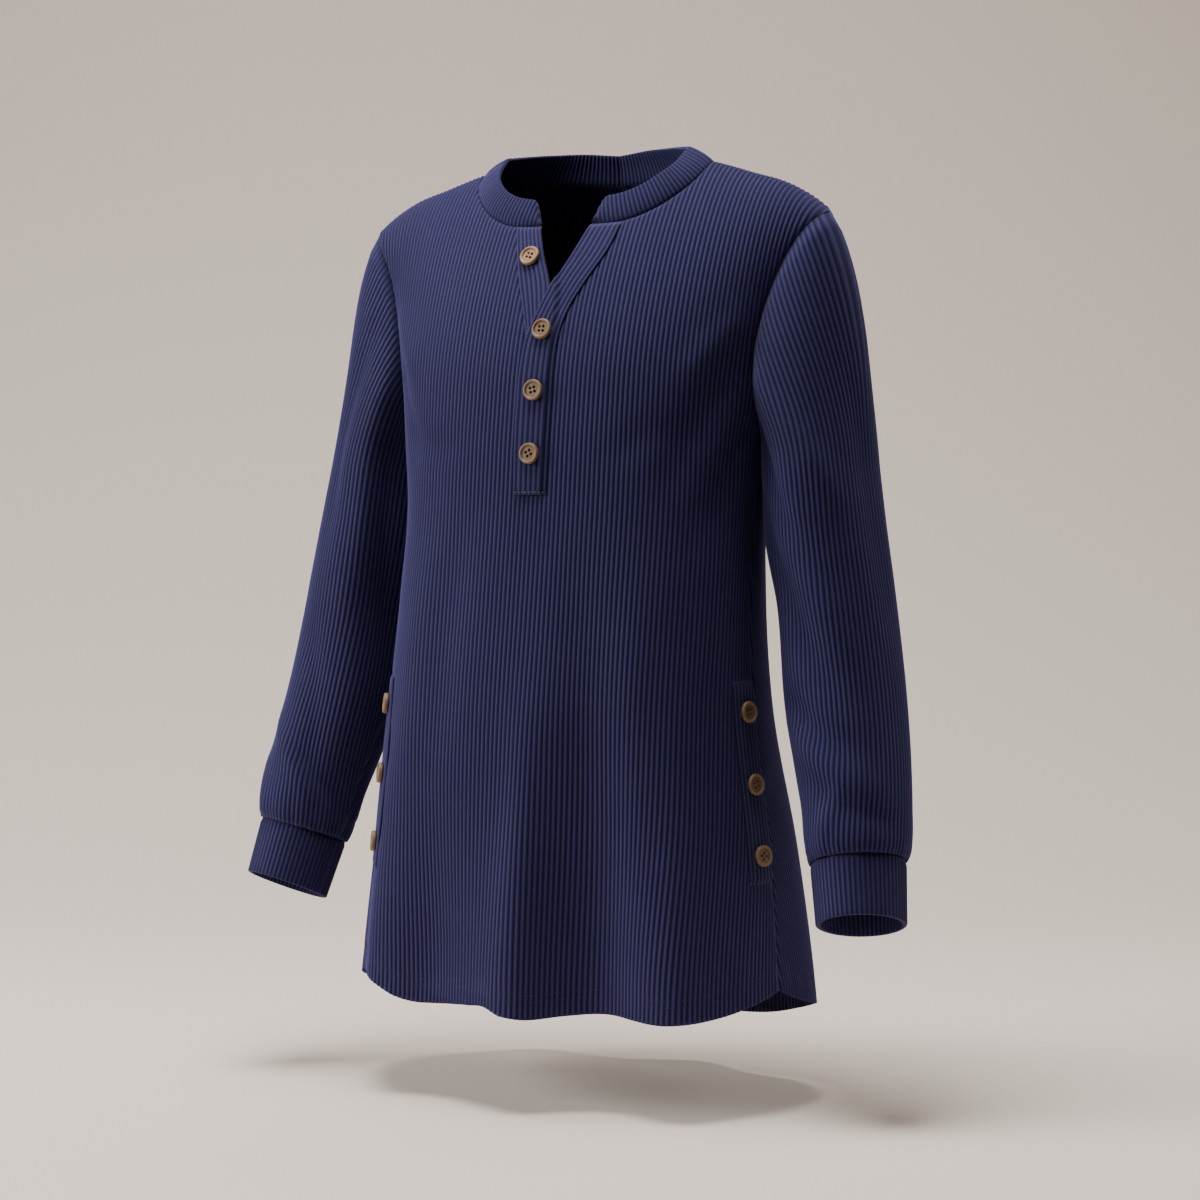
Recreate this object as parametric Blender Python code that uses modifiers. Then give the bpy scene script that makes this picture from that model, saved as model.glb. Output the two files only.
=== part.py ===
"""A long-sleeved henley tunic in wide rib knit, filled out as worn with nobody in it.

Metres, +Z up, the front faces -Y and the wearer's left is +X. The origin is midway between the two
neck ends of the shoulder seams, where the shoulders carry the cloth. Each piece of the cut is one
closed wall: its outer face carries the raised ribs, its inner face is plain.
"""

import math
from collections import namedtuple

import bmesh
import bpy
import numpy as np
from mathutils import Matrix
from mathutils.geometry import delaunay_2d_cdt

# ---- driving sizes -------------------------------------------------------------------------------
CLOTH = 0.0016  # rib knit, pressed flat
SEAM_GAP = 0.0003
KNIT_RIB = 0.0042  # one rib and its groove
RIB_PITCH = 3 * KNIT_RIB  # the solids raise every third rib
RIB_HEIGHT = 0.0008
SEAM_PRESS = 0.004  # ribs are pressed flat this near a seam
UNDERARM_PRESS = 0.05  # and fade out this near the underarm point
RIB_ROWS = np.concatenate([np.arange(0.012, 0.20, 0.027), np.arange(0.21, 0.78, 0.060)])
ROW_CLEAR = 0.007  # from a rib line's end to its next row
INNER_STEP = 0.0165  # between points of the plain inner faces, across
INNER_DROP = 0.045  # and down

CHEST_Z = -0.190  # level sections below this, draped shoulders above
CHEST_DROP = 0.220  # from the shoulder seam down the cloth to the chest level
UNDERARM_Z = -0.235
NECK_S = 0.112  # neck end of the shoulder seam, from the centre line
TIP_S = 0.220  # sleeve end of the shoulder seam

PLACKET_PLY = 0.0013
PLACKET_TOP = -0.0530  # a millimetre below the neckline's front ends
STRIP_LIFT = 0.0005  # between a strip and the panel it is sewn on
STRIP_RIB = 0.0005  # how high its ribs stand
ZONE_TOP = -0.062  # the panel's ribs are pressed flat under the strips, in zones this much wider
ZONE_MARGIN = 0.0016
ZONE_CLEAR = 0.003
BUTTON_R = 0.0088
BUTTON_THICK = 0.0036
CUFF_PLY = 0.0024
BAND_PLY = 0.0022

# Level sections of the body: half its width, how far forward and back it reaches, where it is
# widest, where the side seams lie on the wearer's left and right, and how square the section is
# (2 is an ellipse). The knit has twisted a little, so the right seam runs forward as it falls.
Section = namedtuple("Section", "z half_width front back widest seam_left seam_right square")
SECTIONS = (
    Section(-0.190, 0.173, -0.110, 0.094, -0.012, 0.000, 0.000, 2.4),
    Section(-0.235, 0.166, -0.116, 0.097, -0.018, 0.000, 0.000, 2.4),
    Section(-0.285, 0.159, -0.121, 0.093, -0.026, -0.014, -0.018, 2.4),
    Section(-0.365, 0.160, -0.131, 0.083, -0.033, -0.028, -0.050, 2.5),
    Section(-0.460, 0.168, -0.143, 0.082, -0.036, -0.036, -0.080, 2.5),
    Section(-0.580, 0.184, -0.150, 0.110, -0.027, -0.038, -0.094, 2.5),
    Section(-0.680, 0.1975, -0.154, 0.117, -0.024, -0.048, -0.104, 2.5),
    Section(-0.745, 0.204, -0.157, 0.120, -0.023, -0.052, -0.110, 2.5),
)

# The shoulder seam's height, and how the cloth leaves it, at distances s from the centre line.
Shoulder = namedtuple("Shoulder", "s z front_pull front_dip back_pull back_dip")
SHOULDERS = (
    Shoulder(0.000, 0.012, 0.95, 40, 1.25, 10),
    Shoulder(0.060, 0.010, 0.80, 36, 1.00, 12),
    Shoulder(0.112, 0.001, 0.55, 25, 0.75, 15),
    Shoulder(0.150, -0.0106, 0.52, 18, 0.64, 15),
    Shoulder(0.180, -0.0202, 0.55, 14, 0.62, 14),
    Shoulder(0.205, -0.0342, 0.60, 12, 0.66, 12),
    Shoulder(0.220, -0.046, 0.62, 12, 0.68, 12),
    Shoulder(0.250, -0.072, 0.62, 12, 0.68, 12),
)

# The armhole from the shoulder tip to the underarm, as distances from each panel's centre line.
Armhole = namedtuple("Armhole", "z front_s back_s")
ARMHOLE = (
    Armhole(-0.046, 0.2200, 0.2200),
    Armhole(-0.060, 0.2140, 0.2145),
    Armhole(-0.080, 0.2070, 0.2070),
    Armhole(-0.105, 0.1995, 0.1985),
    Armhole(-0.135, 0.1930, 0.1900),
    Armhole(-0.170, 0.1905, 0.1840),
    Armhole(-0.200, 0.1970, 0.1850),
    Armhole(-0.222, 0.2110, 0.1950),
)

# The neckline on each panel, from the shoulder to the centre, and the band that stands on it.
Neck = namedtuple("Neck", "s z")
FRONT_NECK = (
    Neck(0.108, -0.0125), Neck(0.090, -0.0335), Neck(0.069, -0.0460), Neck(0.048, -0.0518),
    Neck(0.0248, -0.0518),
)
BACK_NECK = (
    Neck(0.104, 0.0005), Neck(0.088, -0.0025), Neck(0.062, -0.0065), Neck(0.030, -0.0095),
    Neck(0.000, -0.0105),
)

# Large folds that hang into the hem: place at the hem, how far they lean out per metre of height,
# half-width, depth at the hem, and the height where they start.
Fold = namedtuple("Fold", "panel s lean width depth top")
FOLD_FULL_Z = -0.70
FOLD_FADE = 0.045  # folds fade out this near a side seam
FOLDS = (
    Fold("front", -0.150, 0.02, 0.034, 0.010, -0.46),
    Fold("front", -0.080, 0.05, 0.038, -0.013, -0.42),
    Fold("front", -0.004, 0.04, 0.028, 0.011, -0.50),
    Fold("front", 0.070, 0.06, 0.038, -0.012, -0.44),
    Fold("front", 0.140, 0.08, 0.036, 0.010, -0.46),
    Fold("back", -0.120, 0.05, 0.038, 0.010, -0.47),
    Fold("back", -0.045, 0.03, 0.036, -0.011, -0.44),
    Fold("back", 0.030, 0.03, 0.034, 0.010, -0.49),
    Fold("back", 0.105, 0.06, 0.040, -0.011, -0.43),
)

# The curved shirt-tail hem's height, by the share of the way from the centre to the side seam. The
# front's two halves swing differently, the back's alike.
Hem = namedtuple("Hem", "share front_left front_right back")
HEM = (
    Hem(0.00, -0.7088, -0.7088, -0.7390), Hem(0.08, -0.7113, -0.7035, -0.7390),
    Hem(0.20, -0.7088, -0.7045, -0.7383), Hem(0.33, -0.7060, -0.7066, -0.7362),
    Hem(0.45, -0.7074, -0.7086, -0.7320), Hem(0.55, -0.7093, -0.7090, -0.7245),
    Hem(0.65, -0.7080, -0.7052, -0.7168), Hem(0.76, -0.7045, -0.6960, -0.7100),
    Hem(0.87, -0.6980, -0.6898, -0.7030), Hem(0.95, -0.6925, -0.6900, -0.6950),
    Hem(1.00, -0.6890, -0.6890, -0.6890),
)

# Free edge and stitched edge of each placket, by height.
Strip = namedtuple("Strip", "z free sewn")
OVER_PLACKET = (
    Strip(-0.0505, 0.0248, 0.0550), Strip(-0.078, 0.0150, 0.0488), Strip(-0.105, 0.0034, 0.0350),
    Strip(-0.127, -0.0040, 0.0246), Strip(-0.151, -0.0115, 0.0192), Strip(-0.175, -0.0135, 0.0184),
    Strip(-0.206, -0.0140, 0.0186), Strip(-0.2815, -0.0125, 0.0182),
)
UNDER_PLACKET = (
    Strip(-0.0505, -0.0248, -0.0490), Strip(-0.078, -0.0120, -0.0392), Strip(-0.105, 0.0015, -0.0288),
    Strip(-0.135, 0.0058, -0.0170), Strip(-0.165, 0.0060, -0.0100), Strip(-0.276, 0.0060, -0.0095),
)
OPEN_TO_Z = -0.103  # the front is slit to here
SLIT_HEM = 0.003  # the slit's edge lies this far under the placket's free edge

# Button strips beside the side seams: heights, and distances forward of the side seam.
SIDE_STRIP_TOP = -0.4345
SIDE_STRIP_BOTTOM = -0.601
SIDE_STRIP_EDGES = (0.002, 0.033)

# Buttons on the plackets, by their place on the front panel.
Button = namedtuple("Button", "s z ply")
PLACKET_BUTTONS = (
    Button(-0.0235, -0.081, "under"), Button(0.0050, -0.145, "over"), Button(0.0030, -0.195, "over"),
    Button(0.0030, -0.2475, "over"),
)
SIDE_BUTTON_HEIGHTS = (-0.4605, -0.520, -0.5785)

# The sleeve on the wearer's left: centre, half its width across and fore and aft, and how much
# wider the cloth is cut than the ring it is gathered into.
Ring = namedtuple("Ring", "x y z across fore_aft fullness")
SLEEVE = (
    Ring(0.2124, -0.0025, -0.262, 0.0463, 0.0580, 1.0),
    Ring(0.2191, -0.0080, -0.308, 0.0486, 0.0548, 1.0),
    Ring(0.2313, -0.0130, -0.364, 0.0474, 0.0510, 1.0),
    Ring(0.2458, -0.0236, -0.455, 0.0487, 0.0500, 1.0),
    Ring(0.2560, -0.0335, -0.500, 0.0462, 0.0485, 1.0),
    Ring(0.2640, -0.0430, -0.536, 0.0435, 0.0460, 1.0),
    Ring(0.2680, -0.0500, -0.563, 0.0425, 0.0450, 1.0),
    Ring(0.2691, -0.0524, -0.574, 0.0405, 0.0425, 1.06),
    Ring(0.2700, -0.0538, -0.579, 0.0380, 0.0390, 1.14),
)
CUFF = (
    Ring(0.2701, -0.0540, -0.5803, 0.0374, 0.0382, 1.0),
    Ring(0.2736, -0.0605, -0.6030, 0.0367, 0.0374, 1.0),
    Ring(0.2775, -0.0678, -0.6290, 0.0357, 0.0364, 1.0),
)
CAP_STEPS = (0.0, 0.14, 0.30, 0.48, 0.66, 0.84)  # rows of the sleeve cap, above its first ring

NAVY = (0.045, 0.052, 0.150, 1.0)
WOOD = (0.42, 0.29, 0.17, 1.0)


# ---- reading the tables --------------------------------------------------------------------------
def smooth(at, known, values):
    """A cubic through a table's column, each row's slope taken from its neighbours."""
    known, values = np.asarray(known, float), np.asarray(values, float)
    if known[0] > known[-1]:
        known, values = known[::-1], values[::-1]
    slope = np.gradient(values, known)
    at = np.clip(at, known[0], known[-1])
    i = np.clip(np.searchsorted(known, at) - 1, 0, len(known) - 2)
    span = known[i + 1] - known[i]
    u = (at - known[i]) / span
    rise = values[i] * (1 + 2 * u) * (1 - u) ** 2 + values[i + 1] * u * u * (3 - 2 * u)
    return rise + span * (slope[i] * u * (1 - u) ** 2 - slope[i + 1] * u * u * (1 - u))


def column(table, name):
    return np.array([getattr(row, name) for row in table])


def read(table, name, at):
    """One column of a table at the places `at` of its first column."""
    return smooth(at, column(table, table[0]._fields[0]), column(table, name))


def curve_through(points, share):
    """Points at the given shares of the length of a smooth curve through a few points."""
    points = np.asarray(points, float)
    run = np.append(0, np.cumsum(np.linalg.norm(np.diff(points, axis=0), axis=1)))
    fine = np.linspace(0, run[-1], 400)
    dense = np.stack([smooth(fine, run, points[:, k]) for k in range(points.shape[1])], 1)
    length = np.append(0, np.cumsum(np.linalg.norm(np.diff(dense, axis=0), axis=1)))
    at = np.asarray(share) * length[-1]
    return np.stack([np.interp(at, length, dense[:, k]) for k in range(points.shape[1])], 1)


def unit(vectors):
    return vectors / np.maximum(np.linalg.norm(vectors, axis=-1, keepdims=True), 1e-12)


def ease(x):
    x = np.clip(x, 0, 1)
    return x * x * (3 - 2 * x)


# ---- the worn form of the body -------------------------------------------------------------------
S_STEP, V_STEP = 0.004, 0.004
S_GRID = np.arange(-0.372, 0.3721, S_STEP)
V_GRID = np.arange(0, 0.790, V_STEP)


def hoop(z, panel):
    """The body's level section at z: points all round and their distance from the panel's centre."""
    row = {name: float(read(SECTIONS, name, z)) for name in Section._fields[1:]}
    turn = np.linspace(-math.pi, math.pi, 1441)
    power = 2 / row["square"]
    ahead = np.cos(turn) * (1 if panel == "front" else -1)
    depth = np.where(ahead > 0, row["widest"] - row["front"], row["back"] - row["widest"])
    x = row["half_width"] * np.sign(np.sin(turn)) * np.abs(np.sin(turn)) ** power
    y = row["widest"] - depth * np.sign(ahead) * np.abs(ahead) ** power
    s = run_from_centre(x, y)
    facing = 1 if panel == "back" else -1
    out = unit(np.stack([-np.gradient(y, s), np.gradient(x, s)], 1)) * facing
    swell = fold_depth(z, s, panel)
    for side, seam in zip((1, -1), seam_places(x, y, s, row)):
        swell *= np.where(s * side > 0, ease((seam - s * side) / FOLD_FADE), 1)
    x, y = x + out[:, 0] * swell, y + out[:, 1] * swell
    return x, y, run_from_centre(x, y)


def seam_places(x, y, s, row):
    """How far round a level section the two side seams lie, on +X and on -X."""
    places = []
    for side, seam in ((1, row["seam_left"]), (-1, row["seam_right"])):
        flank = x * side > 0.6 * x.max()
        order = np.argsort(y[flank])
        places.append(abs(float(np.interp(seam, y[flank][order], s[flank][order]))))
    return places


def run_from_centre(x, y):
    run = np.append(0, np.cumsum(np.hypot(np.diff(x), np.diff(y)) + 1e-12))
    return run - run[len(run) // 2]


def fold_depth(z, s, panel):
    """How far the folds push the cloth out at one height, in soft ridges and troughs."""
    total = np.zeros_like(s)
    for fold in FOLDS:
        if fold.panel == panel:
            grown = float(ease((fold.top - z) / (fold.top - FOLD_FULL_Z)))
            place = fold.s - math.copysign(fold.lean, fold.s) * (z - FOLD_FULL_Z)
            total += fold.depth * grown * np.exp(-(((s - place) / fold.width) ** 2))
    return total


def side_s(panel, z):
    """How far the side seam lies from the panel's centre line at each height, on +X and -X."""
    found = []
    for height in np.atleast_1d(z):
        row = {name: float(read(SECTIONS, name, height)) for name in Section._fields[1:]}
        found.append(seam_places(*hoop(height, panel), row))
    return np.array(found)


def body_grid(panel):
    """The panel's surface on a fine grid of s (from its centre line) and v (down the cloth)."""
    facing = -1 if panel == "front" else 1
    low = V_GRID >= CHEST_DROP
    grid = np.zeros((len(V_GRID), len(S_GRID), 3))
    for i in np.where(low)[0]:
        grid[i] = level_row(CHEST_Z - (V_GRID[i] - CHEST_DROP), panel)
    chest = level_row(CHEST_Z, panel)
    below = (level_row(CHEST_Z - V_STEP, panel) - chest) / V_STEP
    off = np.abs(S_GRID)
    ridge = np.stack([S_GRID, 0 * S_GRID, read(SHOULDERS, "z", off)], 1)
    pull = read(SHOULDERS, panel + "_pull", off) * CHEST_DROP
    dip = np.radians(read(SHOULDERS, panel + "_dip", off))
    leave = np.stack([0 * off, facing * pull * np.cos(dip), -pull * np.sin(dip)], 1)
    for i in np.where(~low)[0]:
        u = V_GRID[i] / CHEST_DROP
        grid[i] = (
            ridge * (1 + 2 * u) * (1 - u) ** 2 + leave * u * (1 - u) ** 2
            + chest * u * u * (3 - 2 * u) - below * CHEST_DROP * u * u * (1 - u)
        )
    return grid


def level_row(z, panel):
    x, y, s = hoop(z, panel)
    return np.stack([np.interp(S_GRID, s, x), np.interp(S_GRID, s, y), 0 * S_GRID + z], 1)


GRIDS = {panel: body_grid(panel) for panel in ("front", "back")}


def normals_of(panel):
    grid = GRIDS[panel]
    across = np.gradient(grid, axis=1)
    down = np.gradient(grid, axis=0)
    out = np.cross(down, across) if panel == "front" else np.cross(across, down)
    return unit(out)


NORMALS = {panel: normals_of(panel) for panel in GRIDS}


def sample(grid, s, v):
    """Values of a grid at points between its rows and columns."""
    i = np.clip((np.asarray(v, float) - V_GRID[0]) / V_STEP, 0, len(V_GRID) - 1.001)
    j = np.clip((np.asarray(s, float) - S_GRID[0]) / S_STEP, 0, len(S_GRID) - 1.001)
    i0, j0 = i.astype(int), j.astype(int)
    fi, fj = (i - i0)[..., None], (j - j0)[..., None]
    top = grid[i0, j0] * (1 - fj) + grid[i0, j0 + 1] * fj
    low = grid[i0 + 1, j0] * (1 - fj) + grid[i0 + 1, j0 + 1] * fj
    return top * (1 - fi) + low * fi


def on_body(panel, s, v, out=0.0):
    """Points on a panel, moved out of its face by `out`."""
    face = unit(sample(NORMALS[panel], s, v))
    return sample(GRIDS[panel], s, v) + face * np.asarray(out, float)[..., None]


def drop(panel, s, z):
    """How far down the cloth each height lies, on each line s."""
    s, z = np.broadcast_arrays(np.asarray(s, float), np.asarray(z, float))
    heights = sample(GRIDS[panel], s[:, None], V_GRID[None, :])[..., 2]
    return np.array([np.interp(-want, -row, V_GRID) for want, row in zip(z, heights)])


# ---- seam lines that neighbouring pieces share ---------------------------------------------------
def ellipse_length(ring):
    turn = np.linspace(0, 2 * math.pi, 721)
    step = np.hypot(np.diff(ring.across * np.cos(turn)), np.diff(ring.fore_aft * np.sin(turn)))
    return float(step.sum())


CAP_HALF = ellipse_length(SLEEVE[0]) / 2
CAP_COLUMNS = round(CAP_HALF / (RIB_PITCH / 2))
SLEEVE_STEP = CAP_HALF / CAP_COLUMNS


def round_armhole(share):
    """How far round the armhole a sleeve column starts: close at the top and the underarm."""
    return share - 0.30 * np.sin(2 * math.pi * share) / (2 * math.pi)


ARMHOLE_SHARES = round_armhole(np.linspace(0, 1, CAP_COLUMNS + 1))


def armhole_seam(panel):
    """The armhole on +X, from the shoulder tip to the underarm: places on the panel, points in
    space, the way inwards that both walls share there, and the way from the body to the sleeve."""
    rows = [(getattr(row, panel + "_s"), row.z) for row in ARMHOLE]
    rows.append((float(side_s(panel, UNDERARM_Z)[0, 0]), UNDERARM_Z))
    line = curve_through(rows, ARMHOLE_SHARES)
    flat = np.stack([line[:, 0], drop(panel, line[:, 0], line[:, 1])], 1)
    points = on_body(panel, flat[:, 0], flat[:, 1])
    facing = -1 if panel == "front" else 1
    share = np.linspace(0, 1, len(points))
    leave = unit(np.stack([
        0.40 - 0.17 * share ** 1.5, facing * 0.50 * np.sin(math.pi * share), -0.80 - 0.15 * share,
    ], 1))
    along = unit(np.gradient(points, axis=0))
    sleeve_face = unit(np.cross(along, leave)) * -facing
    body_face = unit(sample(NORMALS[panel], flat[:, 0], flat[:, 1]))
    inward = -unit(body_face + sleeve_face)
    away = unit(np.cross(inward, along))
    away *= np.sign((away * leave).sum(1))[:, None]
    return flat, points, inward, away, leave


ARMHOLES = {panel: armhole_seam(panel) for panel in GRIDS}
for shared in (0, -1):
    for k in (2, 3):
        mean = unit(ARMHOLES["front"][k][shared] + ARMHOLES["back"][k][shared])
        ARMHOLES["front"][k][shared] = mean
        ARMHOLES["back"][k][shared] = mean

NECK_STEP = RIB_PITCH / 2


def neck_seam(panel):
    """The neckline on +X, from the shoulder to the centre or the slit."""
    rows = [(NECK_S, float(read(SHOULDERS, "z", NECK_S)))]
    rows += [(row.s, row.z) for row in (FRONT_NECK if panel == "front" else BACK_NECK)]
    length = np.linalg.norm(np.diff(np.array(rows), axis=0), axis=1).sum()
    line = curve_through(rows, np.linspace(0, 1, 1 + round(length / NECK_STEP)))
    flat = np.stack([line[:, 0], drop(panel, line[:, 0], line[:, 1])], 1)
    flat[0, 1] = 0
    points = on_body(panel, flat[:, 0], flat[:, 1])
    inward = -unit(sample(NORMALS[panel], flat[:, 0], flat[:, 1]))
    if panel == "front":
        inward[0] = -unit(shoulder_face(NECK_S))
    along = unit(np.gradient(points, axis=0))
    away = unit(np.cross(inward, along))
    toward_neck = np.stack([-points[:, 0], 0 * points[:, 1], 0.03 + 0 * points[:, 2]], 1)
    away *= np.sign((away * toward_neck).sum(1))[:, None]
    return flat, points, inward, away


def shoulder_face(s):
    return unit(sample(NORMALS["front"], s, 0.0) + sample(NORMALS["back"], s, 0.0))


NECKS = {panel: neck_seam(panel) for panel in GRIDS}
NECKS["back"][2][0] = NECKS["front"][2][0]


def slit_edge(table, sign, z):
    """The slit's edge: flush with the placket's free edge at the neck, under it further down."""
    return read(table, "free", z) + sign * SLIT_HEM * ease((-0.052 - z) / 0.012)


# ---- outlines of the two body panels -------------------------------------------------------------
def hem_height(panel, side, share):
    """The hem's height by the share of the way from the centre to the side seam."""
    half = "back" if panel == "back" else "front_left" if side > 0 else "front_right"
    return read(HEM, half, share)


def half_outline(panel, side):
    """One half of a panel's outline, from the neckline's centre end up and round to the hem's
    centre: places on the panel, how far each point is moved off the seam, and the way inwards."""
    mirror = np.array([side, 1, 1])
    flat, shift, inward = [], [], []

    def add(places, moved, into):
        flat.extend(places * np.array([side, 1]))
        shift.extend(moved * mirror)
        inward.extend(into * mirror)

    facing = np.array([0, -1 if panel == "front" else 1, 0])
    half_gap = SEAM_GAP / 2
    places, _, into, away = NECKS[panel]
    add(places[:0:-1], -away[:0:-1] * half_gap, into[:0:-1])
    add(places[:1], (-away[:1] + facing) * half_gap, into[:1])
    s = np.linspace(NECK_S, TIP_S, 11)[1:-1]
    add(np.stack([s, 0 * s], 1), np.tile(facing * half_gap, (len(s), 1)), -shoulder_face(s))
    places, _, into, away, _ = ARMHOLES[panel]
    add(places[:1], (-away[:1] + facing) * half_gap, into[:1])
    add(places[1:-1], -away[1:-1] * half_gap, into[1:-1])
    add(places[-1:], (-away[-1:] + facing) * half_gap, into[-1:])

    z = np.linspace(UNDERARM_Z, hem_height(panel, side, 1.0), 24)[1:]
    s = side_s(panel, z)[:, 0 if side > 0 else 1]
    places = np.stack([s, CHEST_DROP + CHEST_Z - z], 1)
    into = -unit(sample(NORMALS[panel], side * s, places[:, 1])) * mirror
    edge = sample(GRIDS[panel], side * s, places[:, 1])
    inner = sample(GRIDS[panel], side * (s - 0.004), places[:, 1])
    add(places, unit(inner - edge) * half_gap * mirror, into)

    share = np.linspace(1, 0, 30)[1:]
    s = share * s[-1]
    z = hem_height(panel, side, share)
    places = np.stack([s, CHEST_DROP + CHEST_Z - z], 1)
    into = -unit(sample(NORMALS[panel], side * s, places[:, 1])) * mirror
    add(places, np.zeros((len(s), 3)), into)
    return np.array(flat), np.array(shift), np.array(inward)


def outline(panel):
    """The whole outline as a closed loop; the front's also goes down and up its slit."""
    halves = list(zip(half_outline(panel, 1), half_outline(panel, -1)))
    if panel == "back":
        return [np.concatenate([left, right[-2:0:-1]]) for left, right in halves]
    loop = [np.concatenate([left, right[-2::-1]]) for left, right in halves]
    z = np.linspace(FRONT_NECK[-1].z, OPEN_TO_Z, 7)[1:]
    s = np.concatenate([slit_edge(UNDER_PLACKET, -1, z), slit_edge(OVER_PLACKET, 1, z)[::-1]])
    slit = np.stack([s, drop("front", s, np.concatenate([z, z[::-1]]))], 1)
    into = -unit(sample(NORMALS["front"], slit[:, 0], slit[:, 1]))
    return [np.concatenate(pair) for pair in zip(loop, (slit, np.zeros((len(slit), 3)), into))]


# ---- walls ---------------------------------------------------------------------------------------
def inside(points, loop):
    """Whether flat points lie inside a closed outline."""
    x, y = points[:, 0][:, None], points[:, 1][:, None]
    a, b = loop, np.roll(loop, -1, axis=0)
    crosses = (a[:, 1] > y) != (b[:, 1] > y)
    rise = np.where(b[:, 1] == a[:, 1], 1e-12, b[:, 1] - a[:, 1])
    return ((crosses & (x < a[:, 0] + (y - a[:, 1]) / rise * (b[:, 0] - a[:, 0]))).sum(1) % 2) == 1


def distance(points, line, closed=True):
    """How far flat points lie from a line."""
    a = line if closed else line[:-1]
    b = np.roll(line, -1, axis=0) if closed else line[1:]
    step = b - a
    u = ((points[:, None] - a) * step).sum(-1) / np.maximum((step ** 2).sum(-1), 1e-14)
    near = a + np.clip(u, 0, 1)[..., None] * step
    return np.linalg.norm(points[:, None] - near, axis=-1).min(1)


def triangulate(loop, points, edges):
    """Triangles that fill a flat outline and keep the given points and lines."""
    count = len(loop)
    flat = [tuple(map(float, p)) for p in np.concatenate([loop, points])]
    lines = [(int(a) + count, int(b) + count) for a, b in edges]
    corners, _, faces, origins, _, _ = delaunay_2d_cdt(flat, lines, [list(range(count))], 1, 1e-7)
    if len(corners) != len(flat):
        raise ValueError("two lines of a panel cross")
    name = {new: old[0] for new, old in enumerate(origins)}
    return [[name[i] for i in face] for face in faces]


def rib_lines(panel, loop, zones):
    """Crest and groove lines of the raised ribs, down the grain and clear of seams and strips;
    inside a zone that a strip covers only the crest lines run on, pressed flat."""
    points, crests, edges = [], [], []
    reach = int(np.abs(loop[:, 0]).max() / (RIB_PITCH / 2))
    fine = np.arange(0, V_GRID[-1], 0.002)
    for k in range(-reach, reach + 1):
        line = np.stack([0 * fine + k * RIB_PITCH / 2, fine], 1)
        clear = inside(line, loop) & (distance(line, loop) > SEAM_PRESS)
        for zone in zones:
            clear &= distance(line, zone.edge, zone.closed) > ZONE_CLEAR
            if k % 2:
                clear &= ~inside(line, zone.area)
        changes = np.flatnonzero(np.diff(np.concatenate([[0], clear.astype(int), [0]])))
        for start, end in zip(changes[::2], changes[1::2]):
            low, high = fine[start], fine[end - 1]
            if high - low < 2 * ROW_CLEAR:
                continue
            between = RIB_ROWS[(RIB_ROWS > low + ROW_CLEAR) & (RIB_ROWS < high - ROW_CLEAR)]
            v = np.concatenate([[low], between, [high]])
            first = len(points)
            points.extend(np.stack([0 * v + line[0, 0], v], 1))
            crests.extend([k % 2 == 0] * len(v))
            edges.extend((first + i, first + i + 1) for i in range(len(v) - 1))
    points = np.array(points)
    under = ARMHOLES[panel][0][-1]
    from_underarm = np.hypot(np.abs(points[:, 0]) - under[0], points[:, 1] - under[1])
    heights = RIB_HEIGHT * np.array(crests) * ease((from_underarm - 0.012) / UNDERARM_PRESS)
    for zone in zones:
        heights[inside(points, zone.area)] = 0
    return points, heights, edges


def panel_wall(panel, zones):
    """A body panel as one closed wall: ribbed outside, plain inside, joined round its edge."""
    loop, shift, inward = outline(panel)
    points, heights, edges = rib_lines(panel, loop, zones)
    for zone in zones:
        first, count = len(points), len(zone.edge)
        points = np.concatenate([points, zone.edge])
        heights = np.concatenate([heights, np.zeros(count)])
        edges += [(first + i, first + (i + 1) % count) for i in range(count if zone.closed else count - 1)]
    reach = int(np.abs(loop[:, 0]).max() / INNER_STEP)
    plain_s = np.arange(-reach, reach + 1) * INNER_STEP
    plain_v = np.arange(INNER_DROP / 2, V_GRID[-1], INNER_DROP)
    plain = np.array([(s, v) for s in plain_s for v in plain_v])
    plain = plain[inside(plain, loop) & (distance(plain, loop) > INNER_STEP / 2)]

    edge = on_body(panel, loop[:, 0], loop[:, 1]) + shift
    outer = on_body(panel, points[:, 0], points[:, 1], heights)
    inner = on_body(panel, plain[:, 0], plain[:, 1], -CLOTH)
    faces = [tuple(face) for face in triangulate(loop, points, edges)]
    count, start = len(loop), len(edge) + len(outer)
    faces += [tuple(start + i for i in reversed(face)) for face in triangulate(loop, plain, [])]
    for i in range(count):
        j = (i + 1) % count
        faces.append((j, i, start + i, start + j))
    return np.concatenate([edge, outer, edge + inward * CLOTH, inner]), faces


def zip_rows(first, first_at, second, second_at):
    """Triangles between two rows of points, each with its own places along the row."""
    faces, i, j = [], 0, 0
    while i < len(first) - 1 or j < len(second) - 1:
        step_first = j == len(second) - 1 or (
            i < len(first) - 1 and first_at[i + 1] + first_at[i] <= second_at[j + 1] + second_at[j])
        if step_first:
            faces.append((first[i], first[i + 1], second[j]))
            i += 1
        else:
            faces.append((first[i], second[j + 1], second[j]))
            j += 1
    return faces


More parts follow.
